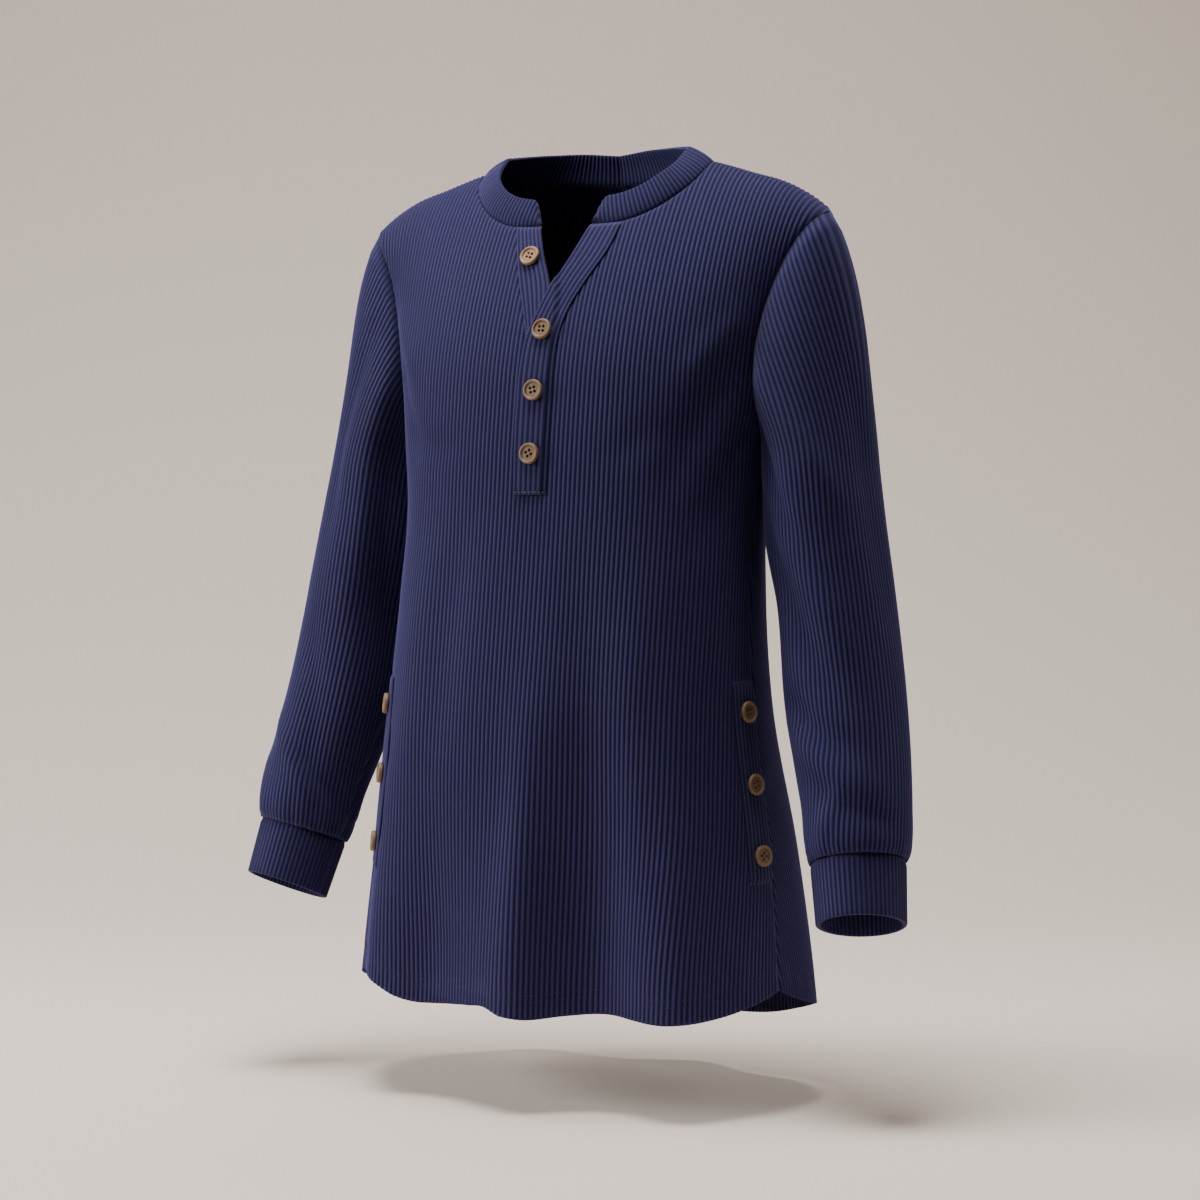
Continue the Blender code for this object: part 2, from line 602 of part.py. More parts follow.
def rows_wall(outer, outer_at, inner, inner_at, tube):
    """A wall from rows of outer points and rows of inner points, which may be fewer. The first and
    last rows of both meet at rims; the rows' ends meet too, at one seam where the wall is a tube."""
    points, faces, names = [], [], []
    for rows in (outer, inner):
        names.append([])
        for row in rows:
            names[-1].append(list(range(len(points), len(points) + len(row))))
            points.extend(row)
    for rows, places in zip(names, (outer_at, inner_at)):
        for k in range(len(rows) - 1):
            faces += zip_rows(rows[k], places[k], rows[k + 1], places[k + 1])
    for k in (0, -1):
        faces += zip_rows(names[0][k], outer_at[k], names[1][k], inner_at[k])
    if not tube:
        for end in (0, -1):
            out_side, in_side = [row[end] for row in names[0]], [row[end] for row in names[1]]
            faces += zip_rows(out_side, np.linspace(0, 1, len(out_side)), in_side, np.linspace(0, 1, len(in_side)))
    return np.array(points), faces


# ---- sleeves and cuffs ---------------------------------------------------------------------------
def ring_frames(rings):
    """Each ring's centre, its way out to the arm's outer side, its way to the front, and its axis."""
    centre = np.stack([column(rings, name) for name in "xyz"], 1)
    axis = unit(np.gradient(centre, axis=0))
    out = unit(np.array([1.0, 0, 0]) - axis * axis[:, :1])
    front = np.cross(axis, out)
    front *= -np.sign(front[:, 1:2])
    return centre, out, front, axis


def on_ring(ring, centre, out, front, w, full):
    """Points on a ring at distances w round it from its outer line, towards the front, and the
    wall's face there. `full` is half the cut width that the ring gathers in."""
    turn = np.linspace(-math.pi, math.pi, 1441)
    x, y = ring.across * np.cos(turn), ring.fore_aft * np.sin(turn)
    run = run_from_centre(x, y)
    at = np.interp(np.clip(w, -full, full) / full * run[-1], run, turn)
    c, s = np.cos(at)[:, None], np.sin(at)[:, None]
    points = centre + out * ring.across * c + front * ring.fore_aft * s
    face = unit(out * c / ring.across + front * s / ring.fore_aft)
    return points, face


def sleeve_rows(w):
    """The sleeve's rows of points on columns w, from the armhole to the cuff, with the wall's faces
    and how much of a rib's height stands at each point."""
    centre, out, front, axis = ring_frames(SLEEVE)
    rows = []
    top, top_face = on_ring(SLEEVE[0], centre[0], out[0], front[0], w, CAP_HALF)
    where = round_armhole(np.clip(np.abs(w) / CAP_HALF, 0, 1))
    start, inward, away, leave = (np.zeros((len(w), 3)) for _ in range(4))
    for panel, side in (("front", w >= 0), ("back", w < 0)):
        for result, values in zip((start, inward, away, leave), ARMHOLES[panel][1:]):
            for k in range(3):
                result[side, k] = np.interp(where[side], ARMHOLE_SHARES, values[:, k])
    inward = unit(inward)
    start = start + away * SEAM_GAP / 2
    chord = np.linalg.norm(top - start, axis=1)[:, None]
    for u in CAP_STEPS:
        points = (
            start * (1 + 2 * u) * (1 - u) ** 2 + top * u * u * (3 - 2 * u)
            + leave * chord * u * (1 - u) ** 2 - axis[0] * chord * u * u * (1 - u)
        )
        rows.append((points, unit(-inward * (1 - u) + top_face * u), 0.0 if u == 0 else 1.0))
    rows.append((top, top_face, 1.0))
    for k in range(1, len(SLEEVE)):
        full = ellipse_length(SLEEVE[k]) / 2 * SLEEVE[k].fullness
        points, face = on_ring(SLEEVE[k], centre[k], out[k], front[k], w, full)
        rows.append((points, face, 0.0 if k == len(SLEEVE) - 1 else 1.0))
    return rows


def sleeve_wall():
    reach = max(ellipse_length(ring) / 2 * ring.fullness for ring in SLEEVE)
    count = int(reach / SLEEVE_STEP) + 1
    w = np.arange(-count, count + 1) * SLEEVE_STEP
    crest = (np.arange(-count, count + 1) % 2 == 0).astype(float)
    underarm = ARMHOLES["front"][1][-1]
    outer = []
    for points, face, height in sleeve_rows(w):
        fade = ease((np.linalg.norm(points - underarm, axis=1) - 0.012) / UNDERARM_PRESS)
        on_seam = np.linalg.norm(points - points[:1], axis=1) < 0.004
        rise = RIB_HEIGHT * height * crest * fade * ~on_seam
        outer.append(points + face * rise[:, None])
    sparse = np.unique(np.concatenate([w[::3], w[[0, -1]]]))
    full_rows = sleeve_rows(w)
    sparse_rows = sleeve_rows(sparse)
    inner, inner_at = [], []
    for k in range(len(full_rows)):
        if k in (0, len(full_rows) - 1):
            points, face, _ = full_rows[k]
            inner_at.append(w)
        elif k % 2 == 0:
            points, face, _ = sparse_rows[k]
            inner_at.append(sparse)
        else:
            continue
        inner.append(points - face * CLOTH)
    return rows_wall(outer, [w] * len(outer), inner, inner_at, tube=True)


def cuff_wall():
    centre, out, front, axis = ring_frames(SLEEVE)
    centre, out, front, axis = centre[-1], out[-1], front[-1], axis[-1]
    half = ellipse_length(CUFF[0]) / 2
    count = round(half / (RIB_PITCH / 2))
    w = np.linspace(-half, half, 2 * count + 1)
    crest = (np.arange(2 * count + 1) % 2 == 0).astype(float)
    sparse = w[::4] if count % 2 == 0 else np.append(w[::4], w[-1])
    outer, inner = [], []
    for k, ring in enumerate(CUFF):
        middle = centre + axis * (SEAM_GAP + (CUFF[0].z - ring.z) / -axis[2])
        rise = 0 if k == 0 else RIB_HEIGHT * 0.8
        points, face = on_ring(ring, middle, out, front, w, half)
        outer.append(points + face * (rise * crest)[:, None])
        points, face = on_ring(ring, middle, out, front, sparse, half)
        inner.append(points - face * CUFF_PLY)
    return rows_wall(outer, [w] * len(outer), inner, [sparse] * len(inner), tube=True)


# ---- neckband ------------------------------------------------------------------------------------
# How far the band's top edge stands from its seam: inwards, back and up. Its place is 0 at the
# front end, 1 at the shoulder and 2 at the centre back.
Stand = namedtuple("Stand", "place inward back rise")
BAND = (
    Stand(0.00, 0.0045, 0.0085, 0.0240), Stand(0.30, 0.0080, 0.0065, 0.0236),
    Stand(0.65, 0.0150, 0.0030, 0.0205), Stand(1.00, 0.0230, 0.0000, 0.0135),
    Stand(1.25, 0.0190, -0.0020, 0.0205), Stand(1.65, 0.0080, -0.0040, 0.0270),
    Stand(2.00, 0.0000, -0.0045, 0.0262),
)
BAND_ROWS = (0.0, 0.3, 0.65, 1.0)
BAND_END_ROUND = 0.019  # the front ends round off over this length


def neckband_wall():
    front, back = NECKS["front"], NECKS["back"]
    half = [np.concatenate([front[k][::-1], back[k][1:]]) for k in (1, 2, 3)]
    mirror = np.array([-1, 1, 1])
    seam, inward, away = [np.concatenate([part, part[-2::-1] * mirror]) for part in half]
    run = np.append(0, np.cumsum(np.linalg.norm(np.diff(seam, axis=0), axis=1)))
    place = np.concatenate([np.linspace(0, 1, len(front[1])), np.linspace(1, 2, len(back[1]))[1:]])
    place = np.concatenate([place, place[-2::-1]])
    stand = np.stack([
        -np.sign(seam[:, 0]) * read(BAND, "inward", place), read(BAND, "back", place),
        read(BAND, "rise", place),
    ], 1)
    from_end = np.clip(np.minimum(run, run[-1] - run) / BAND_END_ROUND, 0.08, 1)
    stand *= np.sin(math.pi / 2 * from_end)[:, None]
    along = unit(np.gradient(seam, axis=0))
    face = unit(np.cross(stand, along))
    face *= -np.sign((face * inward).sum(1))[:, None]
    seam = seam + away * SEAM_GAP / 2
    crest = (np.arange(len(seam)) % 2 == 0) * RIB_HEIGHT * 0.8
    crest[[0, -1]] = 0
    outer, inner = [], []
    sparse = np.unique(np.append(np.arange(0, len(seam), 2), len(seam) - 1))
    for u in BAND_ROWS:
        out = unit(face * min(1, u * 3) - inward * (1 - min(1, u * 3)))
        swell = 0.0012 * math.sin(math.pi * u) + crest * (0 < u < 1)
        points = seam + stand * u + out * np.reshape(swell, (-1, 1))
        outer.append(points)
        if u != BAND_ROWS[1]:
            rows = slice(None) if u == 0 else sparse
            inner.append((seam + stand * u * 0.985 - out * BAND_PLY)[rows])
    places = [run] * len(outer)
    inner_places = [run if len(row) == len(run) else run[sparse] for row in inner]
    return rows_wall(outer, places, inner, inner_places, tube=False)


# ---- what lies on the front panel ----------------------------------------------------------------
def strip_wall(s, v, lift, crests, skip=2):
    """A flat strip on the front panel: rows of places (s, v), how far its underside stands off the
    panel, and how high each line of its upper face is raised over its thickness. The underside has
    every `skip`-th line."""
    over = on_body("front", s, v, lift + PLACKET_PLY + crests)
    under = on_body("front", s, v, lift)[:, ::skip]
    at = np.linspace(0, 1, s.shape[1])
    return rows_wall(list(over), [at] * len(s), list(under), [at[::skip]] * len(s), tube=False)


def placket(table, lift_at, skip):
    """Rows every centimetre or so down a placket, and seven lines across it with three raised ribs."""
    top, bottom = PLACKET_TOP, table[-1].z
    z = np.linspace(top, bottom, 2 + int((top - bottom) / 0.0125))
    free, sewn = read(table, "free", z), read(table, "sewn", z)
    s = free[:, None] + (sewn - free)[:, None] * np.array([0, 0.16, 0.34, 0.50, 0.66, 0.84, 1.0])
    v = drop("front", s[:, 3], z)[:, None] + 0 * s
    crests = STRIP_RIB * np.array([0, 1, 0, 1, 0, 1, 0]) * np.ones((len(z), 1))
    crests[[0, -1]] = 0
    return strip_wall(s, v, lift_at(s, z[:, None]), crests, skip)


def under_lift(s, z):
    return 0 * s + STRIP_LIFT


def over_lift(s, z):
    """The upper placket lies on the lower one where that runs beneath it, and on the panel beyond."""
    edge = read(UNDER_PLACKET, "free", z)
    return STRIP_LIFT + (PLACKET_PLY + STRIP_RIB + SEAM_GAP) * ease((edge + 0.0100 - s) / 0.004)


def side_strip_places(side):
    """Rows and lines of places of the strip beside one side seam."""
    z = np.linspace(SIDE_STRIP_TOP, SIDE_STRIP_BOTTOM, 12)
    seam = side_s("front", z)[:, 0 if side > 0 else 1]
    s = side * (seam[:, None] - np.linspace(SIDE_STRIP_EDGES[0], SIDE_STRIP_EDGES[1], 7))
    return s, CHEST_DROP + CHEST_Z - z[:, None] + 0 * s


def side_strip(side):
    s, v = side_strip_places(side)
    crests = STRIP_RIB * np.array([0, 1, 0, 1, 0, 1, 0]) * np.ones((len(s), 1))
    crests[[0, -1]] = 0
    return strip_wall(s, v, STRIP_LIFT + 0 * s, crests)


# The edge of the cloth that a strip covers, whether it runs all round, and the area it encloses.
Zone = namedtuple("Zone", "edge closed area")


def covered_zones():
    """The zones on the front panel under its strips. The plackets' is open at the top, where the
    slit runs into it."""
    z = np.linspace(ZONE_TOP, OVER_PLACKET[-1].z - ZONE_MARGIN, 24)
    low = np.minimum(read(UNDER_PLACKET, "sewn", z), read(OVER_PLACKET, "free", z)) - ZONE_MARGIN
    high = read(OVER_PLACKET, "sewn", z) + ZONE_MARGIN
    edge = np.concatenate([
        np.stack([low, drop("front", low, z)], 1), np.stack([high, drop("front", high, z)], 1)[::-1],
    ])
    above = np.array([0, 0.04])
    zones = [Zone(edge, False, np.concatenate([edge[:1] - above, edge, edge[-1:] - above]))]
    for side in (1, -1):
        s, v = side_strip_places(side)
        v[0] -= ZONE_MARGIN
        v[-1] += ZONE_MARGIN
        edge = np.concatenate([
            np.stack([s[:, 0] + side * ZONE_MARGIN, v[:, 0]], 1),
            np.stack([s[::-1, -1] - side * ZONE_MARGIN, v[::-1, -1]], 1),
        ])
        zones.append(Zone(edge, True, edge))
    return zones


# ---- buttons -------------------------------------------------------------------------------------
def button_mesh(wood):
    """A turned button with a raised rim, a sunk middle and four sewing holes."""
    rim, sunk = 0.0026, 0.0010
    profile = (
        (0, 0), (BUTTON_R, 0), (BUTTON_R, BUTTON_THICK - 0.0008), (BUTTON_R - rim / 2, BUTTON_THICK),
        (BUTTON_R - rim - 0.0004, BUTTON_THICK - sunk), (0, BUTTON_THICK - sunk),
    )
    mesh = bpy.data.meshes.new("button")
    steps = [(i, i + 1) for i in range(len(profile) - 1)]
    mesh.from_pydata([(x, 0, z) for x, z in profile[::-1]], steps, [])
    turned = bpy.data.objects.new("button_blank", mesh)
    bpy.context.scene.collection.objects.link(turned)
    screw = turned.modifiers.new("turn", "SCREW")
    screw.steps = screw.render_steps = 12
    screw.use_merge_vertices = True
    screw.merge_threshold = 0.00002
    cutters = []
    for k in range(4):
        bpy.ops.mesh.primitive_cylinder_add(
            vertices=5, radius=0.0009, depth=4 * BUTTON_THICK,
            location=(0.0016 * (-1) ** k, 0.0016 * (-1) ** (k // 2), 0))
        cutter = bpy.context.object
        hole = turned.modifiers.new("hole", "BOOLEAN")
        hole.object = cutter
        cutters.append(cutter)
    done = bpy.data.meshes.new_from_object(turned.evaluated_get(bpy.context.evaluated_depsgraph_get()))
    done.materials.clear()
    done.materials.append(wood)
    for spent in cutters + [turned]:
        bpy.data.objects.remove(spent)
    return done


def place_button(name, mesh, s, v, lift, collection):
    """A button on the front panel, its back `lift` off the panel's face."""
    button = bpy.data.objects.new(name, mesh)
    out = unit(sample(NORMALS["front"], s, v))
    across = unit(np.cross([0, 0, 1.0], out))
    button.rotation_mode = "QUATERNION"
    button.rotation_quaternion = Matrix((across, np.cross(out, across), out)).transposed().to_quaternion()
    button.location = on_body("front", s, v, lift)
    collection.objects.link(button)


def add_buttons(wood, collection):
    mesh = button_mesh(wood)
    seat = PLACKET_PLY + STRIP_RIB + SEAM_GAP
    for number, place in enumerate(PLACKET_BUTTONS, 1):
        lift_at = over_lift if place.ply == "over" else under_lift
        v = drop("front", [place.s], [place.z])[0]
        lift = float(lift_at(np.float64(place.s), place.z)) + seat
        place_button(f"placket_button_{number}", mesh, place.s, v, lift, collection)
    for side, word in ((1, "left"), (-1, "right")):
        for number, z in enumerate(SIDE_BUTTON_HEIGHTS, 1):
            seam = side_s("front", z)[0, 0 if side > 0 else 1]
            s = side * (seam - sum(SIDE_STRIP_EDGES) / 2)
            v = CHEST_DROP + CHEST_Z - z
            place_button(f"side_button_{word}_{number}", mesh, s, v, STRIP_LIFT + seat, collection)


# ---- objects -------------------------------------------------------------------------------------
def material(name, colour, roughness):
    made = bpy.data.materials.new(name)
    made.use_nodes = True
    shader = made.node_tree.nodes["Principled BSDF"]
    shader.inputs["Base Color"].default_value = colour
    shader.inputs["Roughness"].default_value = roughness
    shader.inputs["Metallic"].default_value = 0.0
    return made


def add_object(name, wall, finish, collection, mirrored=False):
    """A mesh from points and faces, welded where its ends meet, with its faces pointing out."""
    points, faces = wall
    if mirrored:
        points = points * np.array([-1, 1, 1])
    work = bmesh.new()
    corners = [work.verts.new(point) for point in points]
    for face in faces:
        if len(set(face)) > 2:
            work.faces.new([corners[i] for i in face])
    bmesh.ops.remove_doubles(work, verts=work.verts, dist=0.00004)
    bmesh.ops.dissolve_degenerate(work, edges=work.edges, dist=0.00002)
    bmesh.ops.triangulate(work, faces=work.faces)
    bmesh.ops.recalc_face_normals(work, faces=work.faces)
    mesh = bpy.data.meshes.new(name)
    work.to_mesh(mesh)
    work.free()
    mesh.materials.append(finish)
    made = bpy.data.objects.new(name, mesh)
    collection.objects.link(made)
    return made


def main():
    for old in list(bpy.data.objects):
        bpy.data.objects.remove(old)
    tunic = bpy.data.collections.new("henley_tunic")
    bpy.context.scene.collection.children.link(tunic)
    knit = material("navy_rib_knit", NAVY, 0.85)
    wood = material("coconut_wood", WOOD, 0.55)

    add_object("front_panel", panel_wall("front", covered_zones()), knit, tunic)
    add_object("back_panel", panel_wall("back", []), knit, tunic)
    add_object("under_placket", placket(UNDER_PLACKET, under_lift, 2), knit, tunic)
    add_object("over_placket", placket(OVER_PLACKET, over_lift, 1), knit, tunic)
    for side, word in ((1, "left"), (-1, "right")):
        add_object(f"sleeve_{word}", sleeve_wall(), knit, tunic, side < 0)
        add_object(f"cuff_{word}", cuff_wall(), knit, tunic, side < 0)
        add_object(f"side_strip_{word}", side_strip(side), knit, tunic)
    add_object("neckband", neckband_wall(), knit, tunic)
    add_buttons(wood, tunic)


if __name__ == "__main__":
    main()
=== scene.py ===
"""A long-sleeved henley tunic in wide rib knit, filled out as worn with nobody in it.

Metres, +Z up, the front faces -Y and the wearer's left is +X.
"""

import math
from collections import namedtuple

import bpy
import numpy as np
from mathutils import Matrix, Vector


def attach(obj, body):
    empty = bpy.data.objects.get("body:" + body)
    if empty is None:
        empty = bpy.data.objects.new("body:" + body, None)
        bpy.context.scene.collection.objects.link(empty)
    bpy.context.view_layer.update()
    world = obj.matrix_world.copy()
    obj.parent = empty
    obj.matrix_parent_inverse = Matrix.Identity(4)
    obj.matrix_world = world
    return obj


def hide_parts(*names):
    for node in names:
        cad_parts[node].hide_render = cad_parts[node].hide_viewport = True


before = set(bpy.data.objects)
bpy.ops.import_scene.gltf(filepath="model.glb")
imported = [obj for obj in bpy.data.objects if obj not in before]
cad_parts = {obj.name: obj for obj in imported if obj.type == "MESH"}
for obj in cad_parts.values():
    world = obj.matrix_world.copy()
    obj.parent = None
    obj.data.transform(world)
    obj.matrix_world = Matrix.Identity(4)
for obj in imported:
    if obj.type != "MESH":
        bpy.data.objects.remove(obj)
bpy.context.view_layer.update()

# ---- Navy rib knit ----
# The cloth is a cotton jersey knitted in wide ribs and dyed navy. It is matte; painted shade darkens
# the grooves between its ribs, and small V-shaped stitches show on each rib as bumps with a painted
# highlight on the crests.
KNIT_RIB = 0.0042  # one rib and its groove
KNIT_WALE = KNIT_RIB / 3  # one column of stitches
KNIT_ROW = 0.0011
NAVY = (0.0268, 0.0240, 0.0960, 1)
# painted shade for the grooves between the ribs
NAVY_PAINTED_GROOVE_SHADE = (0.0066, 0.0058, 0.0270, 1)
NAVY_WORN = (0.0345, 0.0315, 0.1120, 1)
# painted highlight on the rib crests, strongest at the stitches
STITCH_PAINTED_HIGHLIGHT = (0.062, 0.057, 0.175, 1)


class Nodes:
    """A material's node tree, with short ways to add a node and join it to others."""

    def __init__(self, name):
        self.material = bpy.data.materials.new(name)
        self.material.use_nodes = True
        self.tree = self.material.node_tree

    def feed(self, node, inputs):
        """Sets or links a node's inputs, each named by its own name or by i and its number."""
        for name, value in inputs.items():
            socket = node.inputs[int(name[1:]) if name[1:].isdigit() else name.replace("_", " ")]
            if isinstance(value, bpy.types.NodeSocket):
                self.tree.links.new(value, socket)
            else:
                socket.default_value = value

    def add(self, kind, settings=None, **inputs):
        node = self.tree.nodes.new(kind)
        for name, value in (settings or {}).items():
            setattr(node, name, value)
        self.feed(node, inputs)
        return node.outputs

    def math(self, operation, a, b=0.0, c=0.0):
        return self.add("ShaderNodeMath", {"operation": operation}, i0=a, i1=b, i2=c)[0]

    def mix(self, factor, a, b):
        return self.add("ShaderNodeMix", {"data_type": "RGBA"}, i0=factor, i6=a, i7=b)[2]

    def noise(self, place, scale, detail, rough):
        values = {"Vector": place, "Scale": scale, "Detail": detail, "Roughness": rough}
        return self.add("ShaderNodeTexNoise", **values)[0]

    def finish(self, **inputs):
        self.feed(self.tree.nodes["Principled BSDF"], inputs)
        return self.material


def knit_material():
    """Rib knit on a UV map laid in metres, u across the ribs and v down them. Painted groove shade
    follows a cosine of u; stitches are V-shaped waves down each column that bump the cloth and carry a
    painted highlight on the crests; fibre and wear are noise."""
    knit = Nodes("navy_rib_knit_cloth")
    do = knit.math
    u, v, _ = knit.add("ShaderNodeSeparateXYZ", i0=knit.add("ShaderNodeUVMap", {"uv_map": "grain"})[0])
    crest = do("MULTIPLY_ADD", do("COSINE", do("MULTIPLY", u, 2 * math.pi / KNIT_RIB)), 0.5, 0.5)
    wale = do("FRACT", do("ADD", do("DIVIDE", u, KNIT_WALE), 0.5))
    aside = do("MULTIPLY", do("ABSOLUTE", do("SUBTRACT", wale, 0.5)), 2.0)
    row = do("ADD", do("DIVIDE", v, KNIT_ROW), do("MULTIPLY", aside, 0.45))
    wave = do("SINE", do("MULTIPLY", row, 2 * math.pi))
    stitch = do("MULTIPLY", wave, do("SUBTRACT", 1.0, do("POWER", aside, 2.0)))

    where = knit.add("ShaderNodeTexCoord")["Object"]
    cloud, fibre = knit.noise(where, 22.0, 3.0, 0.55), knit.noise(where, 900.0, 2.0, 0.6)
    # painted groove shade: the colour darkens from each crest down into its groove
    raised = do("POWER", crest, 1.3)
    wear = do("MULTIPLY", do("SUBTRACT", cloud, 0.40), 1.6)
    wear.node.use_clamp = True
    shade = knit.mix(wear, *(knit.mix(raised, NAVY_PAINTED_GROOVE_SHADE, top) for top in (NAVY, NAVY_WORN)))
    # painted highlight: the crests lighten, most at the top of each stitch
    crest_highlight = do("MULTIPLY", do("MULTIPLY_ADD", stitch, 0.32, 0.26), crest)
    height = do("ADD", do("MULTIPLY", stitch, 0.5), do("MULTIPLY", fibre, 0.6))
    return knit.finish(
        Base_Color=knit.mix(crest_highlight, shade, STITCH_PAINTED_HIGHLIGHT), Roughness=0.86, Specular_IOR_Level=0.14,
        Normal=knit.add("ShaderNodeBump", Strength=0.7, Distance=0.0004, Height=height)[0],
        Sheen_Weight=0.22, Sheen_Roughness=0.45, Sheen_Tint=(0.55, 0.50, 1.0, 1))


NAVY_KNIT = knit_material()

# ---- The body's worn form ----
# Front and back hang from the shoulder seams over the chest and fall free below it. The form is
# level sections under the arms, and cloth draped from the shoulder seam above them.
CLOTH = 0.0016
SEAM_GAP = 0.0003
CHEST_Z, CHEST_DROP, UNDERARM_Z = -0.190, 0.220, -0.235
LEVEL = CHEST_DROP + CHEST_Z  # below the chest, height and distance down the cloth add up to this
NECK_S = 0.112  # the neck end of the shoulder seam
PANELS = {"front": -1, "back": 1}  # the way each faces along Y
SIDES = {"left": 1, "right": -1}


def table(fields, *rows):
    kind = namedtuple("Row", fields)
    return [kind(*row) for row in rows]


# The knit has twisted a little, so the right side seam runs forward as it falls.
SECTIONS = table(
    "z half_width front back widest seam_left seam_right square",
    (-0.19, 0.173, -0.11, 0.094, -0.012, 0, 0, 2.4),
    (-0.235, 0.166, -0.116, 0.097, -0.018, 0, 0, 2.4),
    (-0.285, 0.159, -0.121, 0.093, -0.026, -0.014, -0.018, 2.4),
    (-0.365, 0.16, -0.131, 0.083, -0.033, -0.028, -0.05, 2.5),
    (-0.46, 0.168, -0.143, 0.082, -0.036, -0.036, -0.08, 2.5),
    (-0.58, 0.184, -0.15, 0.11, -0.027, -0.038, -0.094, 2.5),
    (-0.68, 0.1975, -0.154, 0.117, -0.024, -0.048, -0.104, 2.5),
    (-0.745, 0.204, -0.157, 0.12, -0.023, -0.052, -0.11, 2.5),
)
SHOULDERS = table(
    "s z front_pull front_dip back_pull back_dip",
    (0, 0.012, 0.95, 40, 1.25, 10), (0.06, 0.01, 0.8, 36, 1.0, 12),
    (0.112, 0.001, 0.55, 25, 0.75, 15), (0.15, -0.0106, 0.52, 18, 0.64, 15),
    (0.18, -0.0202, 0.55, 14, 0.62, 14), (0.205, -0.0342, 0.6, 12, 0.66, 12),
    (0.22, -0.046, 0.62, 12, 0.68, 12), (0.25, -0.072, 0.62, 12, 0.68, 12),
)
# Large folds that hang into the hem, in mm: s, outward lean, width, depth and the height of the top.
FOLDS = {
    "front": (
        (-150, 20, 34, 10, -460), (-80, 50, 38, -13, -420), (-4, 40, 28, 11, -500),
        (70, 60, 38, -12, -440), (140, 80, 36, 10, -460),
    ),
    "back": (
        (-120, 50, 38, 10, -470), (-45, 30, 36, -11, -440), (30, 30, 34, 10, -490),
        (105, 60, 40, -11, -430),
    ),
}
FOLD_FULL_Z = -0.70
FOLD_FADE = 0.045  # folds fade out this near a side seam


def strand(start, end, leave, arrive, u):
    """A cubic from start to end with the given slopes there."""
    return (
        start * (1 + 2 * u) * (1 - u) ** 2 + end * u * u * (3 - 2 * u)
        + leave * u * (1 - u) ** 2 - arrive * u * u * (1 - u)
    )


def smooth(at, known, values):
    """A cubic through a table's column, each row's slope taken from its neighbours."""
    known, values = np.asarray(known, float), np.asarray(values, float)
    if known[0] > known[-1]:
        known, values = known[::-1], values[::-1]
    slope = np.gradient(values, known)
    at = np.clip(at, known[0], known[-1])
    i = np.clip(np.searchsorted(known, at) - 1, 0, len(known) - 2)
    span = known[i + 1] - known[i]
    u = (at - known[i]) / span
    return strand(values[i], values[i + 1], span * slope[i], span * slope[i + 1], u)


def read(rows, name, at):
    """One column of a table at the places `at` of its first column."""
    return smooth(at, [row[0] for row in rows], [getattr(row, name) for row in rows])


def unit(vectors):
    return vectors / np.maximum(np.linalg.norm(vectors, axis=-1, keepdims=True), 1e-12)


def ease(x):
    x = np.clip(x, 0, 1)
    return x * x * (3 - 2 * x)


def bell(x, width):
    return np.exp(-((x / width) ** 2))


def between(at, known, values):
    """Every column of values at the places `at`."""
    return np.stack([np.interp(at, known, column) for column in values.T], -1)


def run_along(points):
    return np.append(0, np.cumsum(np.linalg.norm(np.diff(points, axis=0), axis=1)))


def run_from_centre(x, y):
    run = np.append(0, np.cumsum(np.hypot(np.diff(x), np.diff(y)) + 1e-12))
    return run - run[len(run) // 2]


def fold_depth(z, s, panel):
    """Bells across the width, each growing down to the hem and leaning outwards as it falls."""
    total = np.zeros_like(s)
    for at, lean, width, depth, top in np.array(FOLDS[panel]) / 1000:
        grown = float(ease((top - z) / (top - FOLD_FULL_Z)))
        total += depth * grown * bell(s - (at - math.copysign(lean, at) * (z - FOLD_FULL_Z)), width)
    return total


def hoop(z, panel):
    """The level section at z, a squared ellipse moved out by the folds: x, y, each point's distance
    round it from the panel's centre line, and the table's row."""
    row = {name: float(read(SECTIONS, name, z)) for name in SECTIONS[0]._fields[1:]}
    turn = np.linspace(-math.pi, math.pi, 1441)
    power = 2 / row["square"]
    ahead = -np.cos(turn) * PANELS[panel]
    depth = np.where(ahead > 0, row["widest"] - row["front"], row["back"] - row["widest"])
    x = row["half_width"] * np.sign(np.sin(turn)) * np.abs(np.sin(turn)) ** power
    y = row["widest"] - depth * np.sign(ahead) * np.abs(ahead) ** power
    s = run_from_centre(x, y)
    out = unit(np.stack([-np.gradient(y, s), np.gradient(x, s)], 1)) * PANELS[panel]
    swell = fold_depth(z, s, panel)
    for side, seam in seam_places(x, y, s, row).items():
        swell *= np.where(s * side > 0, ease((seam - s * side) / FOLD_FADE), 1)
    x, y = x + out[:, 0] * swell, y + out[:, 1] * swell
    return x, y, run_from_centre(x, y), row


def seam_places(x, y, s, row):
    """How far round a level section the side seams lie, by side."""
    places = {}
    for word, side in SIDES.items():
        flank = x * side > 0.6 * x.max()
        order = np.argsort(y[flank])
        places[side] = abs(float(np.interp(row["seam_" + word], y[flank][order], s[flank][order])))
    return places


V_STEP = S_STEP = 0.004
S_GRID = np.arange(-0.372, 0.3721, S_STEP)
V_GRID = np.arange(0, 0.790, V_STEP)


def level_row(z, panel):
    x, y, s, _ = hoop(z, panel)
    return np.stack([np.interp(S_GRID, s, x), np.interp(S_GRID, s, y), 0 * S_GRID + z], 1)


